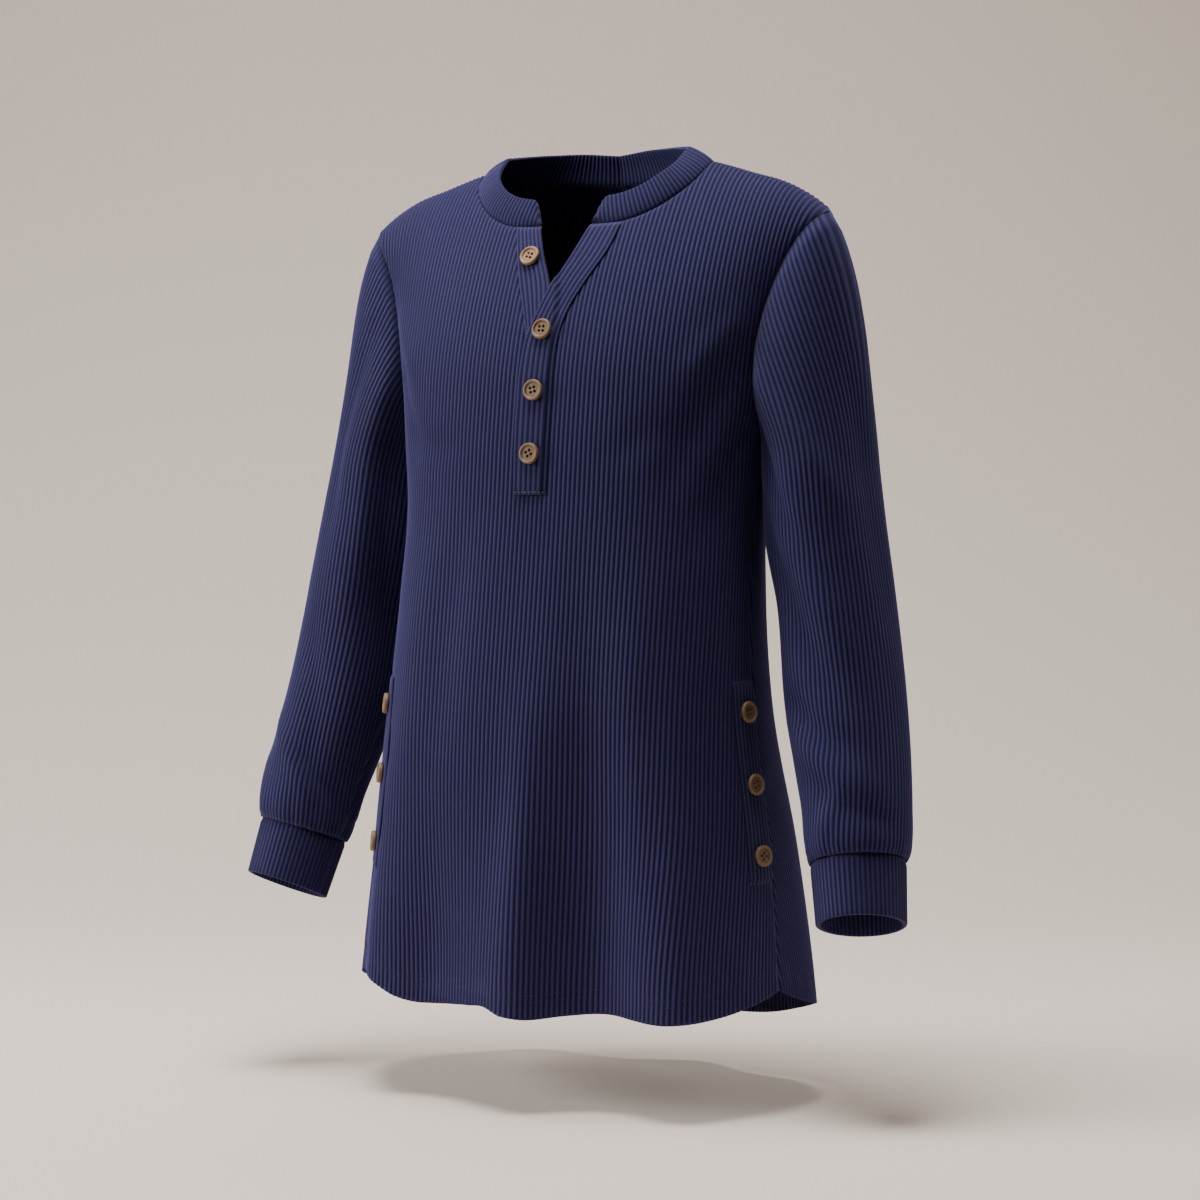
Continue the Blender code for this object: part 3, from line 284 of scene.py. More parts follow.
def body_grid(panel):
    """The panel's surface over s, from its centre line, and v, down the cloth: level sections below
    the chest, and above it cubic strands from the shoulder seam that join the chest smoothly."""
    low = V_GRID >= CHEST_DROP
    grid = np.zeros((len(V_GRID), len(S_GRID), 3))
    grid[low] = [level_row(CHEST_Z - (v - CHEST_DROP), panel) for v in V_GRID[low]]
    chest = level_row(CHEST_Z, panel)
    below = (level_row(CHEST_Z - V_STEP, panel) - chest) / V_STEP
    off = np.abs(S_GRID)
    ridge = np.stack([S_GRID, 0 * S_GRID, read(SHOULDERS, "z", off)], 1)
    pull = read(SHOULDERS, panel + "_pull", off) * CHEST_DROP
    dip = np.radians(read(SHOULDERS, panel + "_dip", off))
    leave = np.stack([0 * off, PANELS[panel] * pull * np.cos(dip), -pull * np.sin(dip)], 1)
    u = (V_GRID[~low] / CHEST_DROP)[:, None, None]
    grid[~low] = strand(ridge, chest, leave, below * CHEST_DROP, u)
    return grid


GRIDS = {panel: body_grid(panel) for panel in PANELS}
NORMALS = {
    panel: unit(np.cross(np.gradient(grid, axis=1), np.gradient(grid, axis=0))) * PANELS[panel]
    for panel, grid in GRIDS.items()
}


def sample(grid, s, v):
    """Values of a grid between its rows and columns."""
    s, v = np.broadcast_arrays(np.asarray(s, float), np.asarray(v, float))
    i = np.clip(v / V_STEP, 0, len(V_GRID) - 1.001)
    j = np.clip((s - S_GRID[0]) / S_STEP, 0, len(S_GRID) - 1.001)
    i0, j0 = i.astype(int), j.astype(int)
    fi, fj = (i - i0)[..., None], (j - j0)[..., None]
    top = grid[i0, j0] * (1 - fj) + grid[i0, j0 + 1] * fj
    low = grid[i0 + 1, j0] * (1 - fj) + grid[i0 + 1, j0 + 1] * fj
    return top * (1 - fi) + low * fi


def drop(panel, s, z):
    """How far down the cloth each height lies, on each line s."""
    s, z = np.broadcast_arrays(np.asarray(s, float), np.asarray(z, float))
    heights = sample(GRIDS[panel], s[:, None], V_GRID[None, :])[..., 2]
    return np.array([np.interp(-want, -row, V_GRID) for want, row in zip(z, heights)])


def side_s(panel, z, side):
    """How far the side seam lies from the panel's centre line at each height."""
    return np.array([seam_places(*hoop(height, panel))[side] for height in np.atleast_1d(z)])


# ---- Seam lines that the pieces share ----
# The armhole, the neckline and the shirt-tail hem are cut lines, sewn 0.3 mm from their neighbour.
ARMHOLE = table(
    "z front_s back_s",
    (-0.046, 0.22, 0.22), (-0.06, 0.214, 0.2145), (-0.08, 0.207, 0.207), (-0.105, 0.1995, 0.1985),
    (-0.135, 0.193, 0.19), (-0.17, 0.1905, 0.184), (-0.2, 0.197, 0.185), (-0.222, 0.211, 0.195),
)
NECKS = {  # from the shoulder: s and z
    "front": (
        (0.108, -0.0125), (0.09, -0.0335), (0.069, -0.046), (0.048, -0.0518), (0.0248, -0.0518),
    ),
    "back": (
        (0.104, 0.0005), (0.088, -0.0025), (0.062, -0.0065), (0.03, -0.0095), (0, -0.0105),
    ),
}
HEM = table(
    "share front_left front_right back",
    (0, -0.7088, -0.7088, -0.739), (0.08, -0.7113, -0.7035, -0.739),
    (0.2, -0.7088, -0.7045, -0.7383), (0.33, -0.706, -0.7066, -0.7362),
    (0.45, -0.7074, -0.7086, -0.732), (0.55, -0.7093, -0.709, -0.7245),
    (0.65, -0.708, -0.7052, -0.7168), (0.76, -0.7045, -0.696, -0.71),
    (0.87, -0.698, -0.6898, -0.703), (0.95, -0.6925, -0.69, -0.695), (1.0, -0.689, -0.689, -0.689),
)
STRIP_EDGES = "z free sewn"
OVER_PLACKET = table(
    STRIP_EDGES,
    (-0.0505, 0.0248, 0.055), (-0.078, 0.015, 0.0488), (-0.105, 0.0034, 0.035),
    (-0.127, -0.004, 0.0246), (-0.151, -0.0115, 0.0192), (-0.175, -0.0135, 0.0184),
    (-0.206, -0.014, 0.0186), (-0.2815, -0.0125, 0.0182),
)
UNDER_PLACKET = table(
    STRIP_EDGES,
    (-0.0505, -0.0248, -0.049), (-0.078, -0.012, -0.0392), (-0.105, 0.0015, -0.0288),
    (-0.135, 0.0058, -0.017), (-0.165, 0.006, -0.01), (-0.276, 0.006, -0.0095),
)
OPEN_TO_Z = -0.103  # the front is slit to here
SLIT_HEM = 0.003  # its edges lie this far under the plackets' free edges


def curve_through(points, share):
    """Points at the given shares of the length of a smooth curve through a few points."""
    points = np.asarray(points, float)
    run = run_along(points)
    fine = np.linspace(0, run[-1], 400)
    dense = np.stack([smooth(fine, run, column) for column in points.T], 1)
    length = run_along(dense)
    return between(share * length[-1], length, dense)


ARMHOLE_SHARES = np.linspace(0, 1, 61)


def round_armhole(share):
    """Where a sleeve column starts on the armhole: closer together at the top and the underarm."""
    return share - 0.30 * np.sin(2 * math.pi * share) / (2 * math.pi)


def armhole_seam(panel):
    """The armhole on +X: places, points, the shared way inwards, the way from body to sleeve, and the
    way the sleeve's cloth leaves it."""
    rows = [(getattr(row, panel + "_s"), row.z) for row in ARMHOLE]
    rows.append((side_s(panel, UNDERARM_Z, 1)[0], UNDERARM_Z))
    line = curve_through(rows, round_armhole(ARMHOLE_SHARES))
    flat = np.stack([line[:, 0], drop(panel, *line.T)], 1)
    points = sample(GRIDS[panel], *flat.T)
    facing, share = PANELS[panel], ARMHOLE_SHARES
    leave = unit(np.stack([
        0.40 - 0.17 * share ** 1.5, facing * 0.50 * np.sin(math.pi * share), -0.80 - 0.15 * share,
    ], 1))
    along = unit(np.gradient(points, axis=0))
    sleeve_face = unit(np.cross(along, leave)) * -facing
    inward = -unit(unit(sample(NORMALS[panel], *flat.T)) + sleeve_face)
    away = unit(np.cross(inward, along))
    away *= np.sign((away * leave).sum(1))[:, None]
    return flat, points, inward, away, leave


ARMHOLES = {panel: armhole_seam(panel) for panel in PANELS}
for end in (0, -1):
    for k in (2, 3):
        shared = unit(ARMHOLES["front"][k][end] + ARMHOLES["back"][k][end])
        ARMHOLES["front"][k][end] = ARMHOLES["back"][k][end] = shared


def neck_seam(panel, step):
    """The neckline on +X from the shoulder to the centre or the slit, with a point every step."""
    rows = [(NECK_S, float(read(SHOULDERS, "z", NECK_S))), *NECKS[panel]]
    line = curve_through(rows, np.linspace(0, 1, 1 + round(run_along(np.array(rows))[-1] / step)))
    flat = np.stack([line[:, 0], drop(panel, *line.T)], 1)
    flat[0, 1] = 0
    return flat


def hem_height(panel, side, share):
    """The hem's height by the share of the way from the centre to the side seam."""
    return read(HEM, "back" if panel == "back" else "front_left" if side > 0 else "front_right", share)


CORNER_S = {
    (panel, side): side_s(panel, hem_height(panel, side, 1.0), side)[0]
    for panel in PANELS for side in SIDES.values()
}


def hem_v(panel, s):
    """How far down the cloth the hem lies on each line s."""
    z = np.zeros_like(s)
    for side in SIDES.values():
        here = s * side >= 0
        z[here] = hem_height(panel, side, np.clip(np.abs(s[here]) / CORNER_S[panel, side], 0, 1))
    return LEVEL - z


def slit_edge(placket, sign, z):
    """The slit's edge: flush with the placket's free edge at the neck, under it further down."""
    return read(placket, "free", z) + sign * SLIT_HEM * ease((-0.052 - z) / 0.012)


def top_v(panel, s):
    """Where the panel's upper edge lies: shoulder seam, neckline and the slit's two sides."""
    neck = neck_seam(panel, 0.001)[::-1]
    top = np.interp(np.abs(s), neck[:, 0], neck[:, 1])
    top[np.abs(s) >= NECK_S] = 0
    if panel == "front":
        z = np.linspace(NECKS["front"][-1][1], OPEN_TO_Z, 60)
        ends = []
        for placket, sign in ((UNDER_PLACKET, -1), (OVER_PLACKET, 1)):
            edge = slit_edge(placket, sign, z)
            v = drop("front", edge, z)
            here = (sign * s > sign * edge[-1]) & (sign * s < sign * edge[0])
            order = np.argsort(edge)
            top[here] = np.interp(s[here], edge[order], v[order])
            ends.append(edge[-1])
        top[(s >= ends[0]) & (s <= ends[1])] = drop("front", [0.0], [OPEN_TO_Z])[0]
    return top


def reach_table(panel, side):
    """How far the panel reaches to a side at each v: the armhole, then the side seam."""
    armhole = ARMHOLES[panel][0][:-1]
    low = np.linspace(UNDERARM_Z, hem_height(panel, side, 1.0), 60)
    return np.append(armhole[:, 1], LEVEL - low), np.append(armhole[:, 0], side_s(panel, low, side))


REACH = {(panel, side): reach_table(panel, side) for panel in PANELS for side in SIDES.values()}


def reach(panel, side, v):
    return np.interp(v, *REACH[panel, side])


# ---- Front and back ----
# Each is one piece of rib knit cut on the fold. Ribs run down the grain and are pressed flat beside
# the seams. The wearer's movement has left soft troughs and ridges in them.
RIB_HEIGHT = 0.0013
RIB_COLUMNS = 4  # columns of points to a rib
PRESS = 0.0035  # ribs are flattened this near a seam
SEAM_SINK = 0.0006  # a seam pulls the cloth in by this much
SEAM_WIDTH = 0.0016
DOUBLED_RIB = RIB_HEIGHT * 0.9  # ribs stand lower on doubled cloth
HEM_ROWS = (0.0145, 0.0200)  # stitch rows above the hem's edge
BODY_ROWS = np.concatenate([
    np.arange(0, 0.054, 0.006), np.arange(0.054, 0.134, 0.0028), np.arange(0.134, 0.200, 0.0075),
    np.arange(0.200, 0.280, 0.0035), np.arange(0.280, 0.680, 0.0095), np.arange(0.680, 0.780, 0.0065),
])

# Soft creases, in mm: start (s, v), end (s, v), bow, width and depth, which is above zero in a ridge.
CREASES = {
    "front": (
        (205, 175, 110, 330, 10, 16, -3.5), (200, 150, 120, 230, 6, 12, 2.2),
        (215, 215, 150, 370, 8, 14, -3), (-205, 170, -125, 310, -12, 16, -3.2),
        (-200, 145, -130, 215, -6, 13, 2), (-160, 240, -60, 275, 8, 12, -1.6),
        (150, 250, 60, 290, 8, 14, -1.5), (-60, 300, -75, 560, 8, 20, -3),
        (45, 330, 60, 600, -6, 24, -3.2), (100, 360, 120, 640, 6, 20, 2.6),
        (-110, 330, -130, 600, -8, 18, 2.6), (170, 420, 175, 600, 6, 14, -2),
        (12, 430, 18, 980, 3, 18, 7), (72, 380, 94, 980, 6, 34, -9.5),
        (132, 430, 170, 980, -4, 22, 5), (-60, 440, -68, 980, -3, 26, 3),
    ),
    "back": (
        (190, 150, 90, 260, 8, 16, -3.4), (-190, 155, -100, 275, -10, 17, -3.4),
        (100, 110, -80, 135, 10, 18, -1.8), (150, 300, 60, 390, 10, 17, -3),
        (-140, 320, -40, 400, -8, 15, -2.8), (20, 330, 10, 580, 8, 22, 3),
        (-80, 420, -95, 640, 6, 20, -2.8), (95, 420, 110, 650, -8, 20, 2.8),
    ),
}


def crease_depth(creases, s, v):
    """Sum of bells across bowed lines, each fading in and out along its length."""
    total = np.zeros(np.broadcast(s, v).shape)
    for from_s, from_v, to_s, to_v, bow, width, depth in np.array(creases) / 1000:
        run_s, run_v = to_s - from_s, to_v - from_v
        length = math.hypot(run_s, run_v)
        along = ((s - from_s) * run_s + (v - from_v) * run_v) / length ** 2
        aside = ((v - from_v) * run_s - (s - from_s) * run_v) / length - bow * 4 * along * (1 - along)
        total += depth * bell(aside, width) * ease(along / 0.35) * ease((1 - along) / 0.35)
    return total


def from_seam(panel, s, v):
    """How far a place lies from the armhole or side seam, measured across the grain."""
    return np.where(s >= 0, reach(panel, 1, v) - s, reach(panel, -1, v) + s)


def on_cloth(panel, s, v, out=0.0):
    """Points on a panel with its creases, moved out of its face by `out`, and the panel's faces."""
    face = unit(sample(NORMALS[panel], s, v))
    held = ease(from_seam(panel, s, v) / 0.030) * ease(v / 0.030)
    rise = out + crease_depth(CREASES[panel], s, v) * held
    return sample(GRIDS[panel], s, v) + face * rise[..., None], face


def clamp_grid(s, v, top, bottom, right, left):
    """A grid of columns s and rows v held inside an outline. Returns places, and an index that joins
    the points outside to the outline's nearest one."""
    near_s, near_v = 0.3 * (s[1] - s[0]), 0.0006
    i_top = np.clip(np.searchsorted(v, top + near_v) - 1, 0, len(v) - 1)
    i_low = np.clip(np.searchsorted(v, bottom - near_v), 0, len(v) - 1)
    j_left = np.clip(np.searchsorted(s, left - near_s), 0, len(s) - 1)
    j_right = np.clip(np.searchsorted(s, near_s - right) - 1, 0, len(s) - 1)
    rows, columns = np.arange(len(v)), np.arange(len(s))
    place_s, place_v = np.tile(s, (len(v), 1)), np.tile(v[:, None], (1, len(s)))
    place_v[i_top, columns], place_v[i_low, columns] = top, bottom
    place_s[rows, j_left], place_s[rows, j_right] = left, -right
    i, j = np.meshgrid(rows, columns, indexing="ij")
    i = np.clip(i, i_top[j], i_low[j])
    j = np.clip(j, j_right[i], j_left[i])
    i = np.clip(i, i_top[j], i_low[j])
    return place_s, place_v, i * len(s) + j


def grid_triangles(index, flip=False, round_rows=False):
    """Two triangles to each cell of an index grid, without those that have shrunk to a line."""
    if round_rows:
        index = np.concatenate([index, index[:1]])
    corners = index[:-1, :-1], index[:-1, 1:], index[1:, 1:], index[1:, :-1]
    a, b, c, d = [corner.ravel() for corner in corners]
    faces = np.concatenate([np.stack([a, d, c], 1), np.stack([a, c, b], 1)])
    faces = faces[(faces != np.roll(faces, 1, axis=1)).all(1)]
    return faces[:, ::-1] if flip else faces


def knit_piece(name, points, places, faces, thickness=0.0, material=NAVY_KNIT):
    """A mesh with the grain's places as its UV map; a thickness makes it a closed shell inwards."""
    used, faces = np.unique(faces, return_inverse=True)
    faces = faces.reshape(-1, 3)
    mesh = bpy.data.meshes.new(name)
    mesh.from_pydata(points.reshape(-1, 3)[used].tolist(), [], faces.tolist())
    grain = mesh.uv_layers.new(name="grain")
    grain.uv.foreach_set("vector", places.reshape(-1, 2)[used][faces.ravel()].ravel())
    piece = add_object(name, mesh, material)
    if thickness:
        shell = piece.modifiers.new("thickness", "SOLIDIFY")
        shell.thickness, shell.offset = thickness, -1
    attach(piece, "root")
    return piece


def add_object(name, mesh, material):
    mesh.polygons.foreach_set("use_smooth", np.ones(len(mesh.polygons), bool))
    mesh.materials.append(material)
    piece = bpy.data.objects.new(name, mesh)
    bpy.context.scene.collection.objects.link(piece)
    return piece


def rib(across, height=RIB_HEIGHT):
    """A rounded rib: a raised cosine, a little fuller at the crest."""
    return height * (0.5 + 0.5 * np.cos(2 * math.pi * across / KNIT_RIB)) ** 0.8


SIDE_STRIP_TOP, SIDE_STRIP_BOTTOM = -0.4345, -0.601
SIDE_STRIP_EDGES = (0.002, 0.033)  # from the side seam


def strip_cover(s, v):
    """1 where the plackets or a side strip lie on the front, which presses its ribs flat."""
    def within(x, low, high):
        return ease((x - low) / 0.001) * ease((high - x) / 0.001)

    z = np.where(v < CHEST_DROP, sample(GRIDS["front"], s, v)[..., 2], LEVEL - v)
    low = np.minimum(read(UNDER_PLACKET, "sewn", z), read(OVER_PLACKET, "free", z)) - 0.0010
    cover = within(s, low, read(OVER_PLACKET, "sewn", z) + 0.0006)
    cover = cover * ease((z - OVER_PLACKET[-1].z + 0.001) / 0.001)
    side = within(from_seam("front", s, v), SIDE_STRIP_EDGES[0] - 0.001, SIDE_STRIP_EDGES[1] + 0.001)
    return np.maximum(cover, side * within(z, SIDE_STRIP_BOTTOM - 0.001, SIDE_STRIP_TOP + 0.001))


def stitched(gap):
    """How much of the ribs stands this far from a stitch row."""
    return 1 - 0.45 * bell(gap, SEAM_WIDTH)


def body_panel(panel):
    left, right = reach(panel, 1, BODY_ROWS), reach(panel, -1, BODY_ROWS)
    step = KNIT_RIB / RIB_COLUMNS
    s = np.arange(-math.ceil(right.max() / step), math.ceil(left.max() / step) + 1) * step
    top, bottom = top_v(panel, s), hem_v(panel, s)
    place_s, place_v, index = clamp_grid(s, BODY_ROWS, top, bottom, right, left)
    edge_gap = np.minimum(np.maximum(from_seam(panel, place_s, place_v), 0), place_v - top)
    pressed = ease((edge_gap - 0.0005) / PRESS)
    for row in HEM_ROWS:
        pressed = pressed * stitched(bottom - place_v - row)
    if panel == "front":
        pressed = pressed * (1 - strip_cover(place_s, place_v))
    out = rib(place_s) * pressed - SEAM_SINK * bell(edge_gap, SEAM_WIDTH)
    points = on_cloth(panel, place_s, place_v, out)[0]
    faces = grid_triangles(index, flip=panel == "back")
    piece = knit_piece(panel + "_cloth", points, np.stack([place_s, place_v], -1), faces, CLOTH)
    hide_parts(panel + "_panel")
    return piece


FRONT, BACK = body_panel("front"), body_panel("back")

# ---- Sleeves ----
# Each sleeve is one piece with an underarm seam, set into the armhole. It hangs bent a little at the
# elbow, with soft folds from the armpit, and is gathered slightly into its cuff.
SLEEVE = table(
    "z x y across fore_aft fullness",
    (-0.262, 0.2124, -0.0025, 0.0463, 0.058, 1.0), (-0.308, 0.2191, -0.008, 0.0486, 0.0548, 1.0),
    (-0.364, 0.2313, -0.013, 0.0474, 0.051, 1.0), (-0.455, 0.2458, -0.0236, 0.0487, 0.05, 1.0),
    (-0.5, 0.256, -0.0335, 0.0462, 0.0485, 1.0), (-0.536, 0.264, -0.043, 0.0435, 0.046, 1.0),
    (-0.563, 0.268, -0.05, 0.042, 0.0444, 1.0), (-0.574, 0.2691, -0.0524, 0.0402, 0.042, 1.04),
    (-0.579, 0.27, -0.0538, 0.0387, 0.0397, 1.08),
)
CAP_ROWS = 15
ARM_Z = np.concatenate([np.arange(-0.262, -0.545, -0.0065), np.arange(-0.545, -0.5792, -0.0034)])
CUFF_STITCH = 0.0050

# Creases as above, with w for s, round the sleeve from its outer line to the front, and z for v.
SLEEVE_CREASES = {
    "left": (
        (140, -155, 50, -370, 12, 13, -6.2), (112, -115, 35, -310, 10, 12, 4.8),
        (135, -235, 55, -470, 10, 14, -5.2), (100, -220, 45, -440, 6, 13, 4.2),
        (12, -160, -5, -440, 6, 14, -3.4), (125, -430, 30, -495, 10, 11, -3.6),
        (135, -455, 20, -525, 8, 11, 3.4), (110, -500, 0, -550, 6, 9, -2.8),
        (60, -505, 85, -574, 4, 8, 2.2), (-145, -170, -60, -360, 10, 14, -5.6),
        (-110, -150, -50, -330, 8, 12, 4.2), (-135, -290, -50, -470, 8, 14, -4.2),
        (-30, -450, -120, -530, 6, 12, 3.6),
    ),
    "right": (
        (46, -90, 58, -360, 5, 11, -4.4), (82, -110, 100, -400, 6, 13, 5.2),
        (106, -140, 150, -480, -8, 15, -6.4), (66, -290, 128, -525, 6, 16, 4.6),
        (34, -350, 100, -550, 8, 14, -4.4), (28, -465, 100, -560, 4, 9, 3),
        (60, -490, 130, -566, 4, 8, -2.8), (20, -500, 45, -574, 4, 8, 2.2),
        (-50, -110, -62, -380, 6, 13, -4.6), (-95, -140, -145, -450, 8, 14, 4.8),
        (-80, -330, -20, -520, 8, 14, -4.2), (-125, -400, -85, -550, 6, 12, 3.4),
    ),
}


def ellipse_length(across, fore_aft):
    turn = np.linspace(0, 2 * math.pi, 721)
    return float(np.hypot(np.diff(across * np.cos(turn)), np.diff(fore_aft * np.sin(turn))).sum())


# A ring's centre, the ways to the arm's outer side and to the front, its two half-widths and its axis.
Ring = namedtuple("Ring", "centre out front across fore_aft fullness axis")


def arm_rings():
    centre = np.stack([read(SLEEVE, "x", ARM_Z), read(SLEEVE, "y", ARM_Z), ARM_Z], 1)
    axis = unit(np.gradient(centre, axis=0))
    out = unit(np.array([1.0, 0, 0]) - axis * axis[:, :1])
    front = np.cross(axis, out)
    front *= -np.sign(front[:, 1:2])
    sizes = [read(SLEEVE, name, ARM_Z) for name in SLEEVE[0]._fields[3:]]
    return [Ring(*parts) for parts in zip(centre, out, front, *sizes, axis)]


def on_ring(share, centre, out, front, across, fore_aft):
    """Points of an ellipse at even shares of its length from its outer line, and its faces there."""
    turn = np.linspace(-math.pi, math.pi, 721)
    run = run_from_centre(across * np.cos(turn), fore_aft * np.sin(turn))
    at = np.interp(np.clip(share, -1, 1) * run[-1], run, turn)
    c, s = np.cos(at)[:, None], np.sin(at)[:, None]
    face = unit(out * c / across + front * s / fore_aft)
    return centre + out * across * c + front * fore_aft * s, face


RINGS = arm_rings()
CAP_HALF = ellipse_length(SLEEVE[0].across, SLEEVE[0].fore_aft) / 2


def sleeve_rows(w):
    """The sleeve's rows on columns w: cubic strands from the armhole to the first ring, then rings.
    Also the faces, and half the cut width of each row."""
    top, top_face = on_ring(w / CAP_HALF, *RINGS[0][:5])
    share = round_armhole(np.clip(np.abs(w) / CAP_HALF, 0, 1))
    known = round_armhole(ARMHOLE_SHARES)
    halves = [[between(share, known, values) for values in ARMHOLES[panel][1:]] for panel in PANELS]
    start, inward, away, leave = np.where((w >= 0)[:, None], *halves)
    start = start + away * SEAM_GAP / 2
    chord = np.linalg.norm(top - start, axis=1)[:, None]
    u = np.linspace(0, 1, CAP_ROWS)[:-1, None, None]
    rows = [*strand(start, top, leave * chord, RINGS[0].axis * chord, u)]
    faces = [*unit(-unit(inward) * (1 - u) + top_face * u)]
    half = [CAP_HALF] * (CAP_ROWS - 1)
    for ring in RINGS:
        half.append(ellipse_length(ring.across, ring.fore_aft) / 2 * ring.fullness)
        for known, new in zip((rows, faces), on_ring(w / half[-1], *ring[:5])):
            known.append(new)
    return np.array(rows), np.array(faces), np.array(half)


def gathers(w, height, seed):
    """Small uneven pleats that fade upwards from the cuff."""
    waves = ((1, 0.021, 0.3), (0.7, 0.034, 1.7), (0.5, 0.013, 4.1))
    wave = sum(size * np.sin(w * 2 * math.pi / length + phase * seed) for size, length, phase in waves)
    return 0.0007 * wave * ease(height / 0.004) * np.exp(-height / 0.016)


def underarm_line():
    """The sleeve's seam from the underarm point to the cuff."""
    ends = sleeve_rows(np.array([CAP_HALF]))[0][:CAP_ROWS - 1, 0]
    return np.concatenate([ends, [ring.centre - ring.out * ring.across for ring in RINGS]])


def sleeve(word):
    side = SIDES[word]
    count = int(0.190 / KNIT_RIB * RIB_COLUMNS)  # enough to reach round the widest row
    w = np.arange(-count, count + 1) * KNIT_RIB / RIB_COLUMNS
    points, face, half = sleeve_rows(w)
    rows, columns = np.arange(len(points)), np.arange(len(w))
    high = np.searchsorted(w, half - 0.3 * (w[1] - w[0]))
    low = len(w) - 1 - high
    place_w = np.tile(w, (len(rows), 1))
    place_w[rows, high], place_w[rows, low] = half, -half
    points[rows, high] = points[rows, low] = underarm_line()
    j = np.clip(columns[None, :], low[:, None], high[:, None])
    j = np.where(j == high[:, None], low[:, None], j)

    from_armhole = np.linalg.norm(points - points[:1], axis=-1)
    above_cuff = points[..., 2] - ARM_Z[-1]
    pressed = ease((from_armhole - 0.001) / PRESS) * ease((half[:, None] - np.abs(place_w)) / PRESS)
    pressed = pressed * stitched(above_cuff - CUFF_STITCH)
    held = ease(from_armhole / 0.030) * ease(above_cuff / 0.012)
    lift = (
        rib(place_w) * pressed - SEAM_SINK * bell(from_armhole, SEAM_WIDTH)
        + crease_depth(SLEEVE_CREASES[word], place_w, points[..., 2]) * held
        + gathers(place_w, above_cuff, side + 2)
    )
    down = run_along(points[:, len(w) // 2])
    places = np.stack(np.broadcast_arrays(place_w, down[:, None]), -1)
    points = (points + face * lift[..., None]) * [side, 1, 1]
    faces = grid_triangles(rows[:, None] * len(w) + j, flip=side > 0)
    piece = knit_piece(f"sleeve_{word}_cloth", points, places, faces, CLOTH)
    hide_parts("sleeve_" + word)
    return piece


SLEEVES = {word: sleeve(word) for word in SIDES}

# ---- Cuffs ----
# A cuff is a tube of the same rib knit folded double at its open end and seamed to the sleeve.
CUFF_PLY = 0.0024
CUFF_TOP, CUFF_END = -0.5803, -0.6290
CUFF_SIZES = ((0.0379, 0.0387), (0.0357, 0.0364))  # half-widths across and fore and aft, at each end
CUFF_TILT = 0.0025  # the open end is this much shorter in front and longer behind


def doubled(outside, over, inside):
    """The rows of a strip folded double: the share of the way to the fold, the side from 1 to -1, and
    the rise over the fold."""
    turn = np.linspace(0, math.pi, over)[1:-1]
    return list(zip(
        [*np.linspace(0, 1, outside), *np.ones(over - 2), *np.linspace(1, 0, inside)],
        [*np.ones(outside), *np.cos(turn), *-np.ones(inside)],
        [*np.zeros(outside), *np.sin(turn), *np.zeros(inside)],
    ))


def cuff(word):
    """Ellipses along the sleeve's last axis, whose rows are those of a doubled strip."""
    side = SIDES[word]
    centre, out, front, *_, axis = RINGS[-1]
    length = (CUFF_TOP - CUFF_END) / -axis[2] - CUFF_PLY / 2
    columns = RIB_COLUMNS * round(ellipse_length(*CUFF_SIZES[0]) / KNIT_RIB)
    share = np.linspace(-1, 1, columns + 1)
    ribs = (0.5 + 0.5 * np.cos(2 * math.pi * np.arange(columns + 1) / RIB_COLUMNS)) * DOUBLED_RIB
    rows, profile = [], []
    for down, outside, over in doubled(12, 6, 6):
        along = length * down + CUFF_PLY / 2 * over
        t = along / length
        depth = CUFF_PLY / 2 * (1 - outside)
        across, fore_aft = [a + (b - a) * t for a, b in zip(*CUFF_SIZES)]
        middle = centre + axis * (SEAM_GAP + along)
        points, face = on_ring(share, middle, out, front, across, fore_aft)
        points = points - axis * (CUFF_TILT * t ** 2 * (face @ front))[:, None]
        rows.append(points + face * (ribs * outside * ease(along / PRESS) - depth)[:, None])
        profile.append((along, depth))
    index = np.arange(len(rows) * (columns + 1)).reshape(len(rows), -1)
    index[:, -1] = index[:, 0]
    v = np.append(0, np.cumsum(np.abs(np.diff(profile, axis=0)).sum(1)))
    places = np.stack(np.broadcast_arrays(share * columns / RIB_COLUMNS / 2 * KNIT_RIB, v[:, None]), -1)
    faces = grid_triangles(index, flip=side > 0, round_rows=True)
    piece = knit_piece(f"cuff_{word}_cloth", rows * np.array([side, 1, 1]), places, faces)
    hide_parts("cuff_" + word)


for word in SIDES:
    cuff(word)

# ---- Neckband ----
# A strip of rib knit folded double stands on the neckline, its ribs running across it. Its two front
# ends are rounded off and meet the plackets.
BAND = table(
    "place inward back rise",
    (0, 0.0045, 0.0085, 0.024), (0.3, 0.008, 0.0065, 0.0236), (0.65, 0.015, 0.003, 0.0205),
    (1.0, 0.023, 0, 0.0135), (1.25, 0.019, -0.002, 0.0205), (1.65, 0.008, -0.004, 0.027),
    (2.0, 0, -0.0045, 0.0262),
)
BAND_PLY = 0.0022
BAND_END_ROUND = 0.019
BAND_SWELL = 0.0012
BAND_GRAIN, BAND_TURN = 0.024, 0.004  # the cloth's run up each side of the band and over its fold


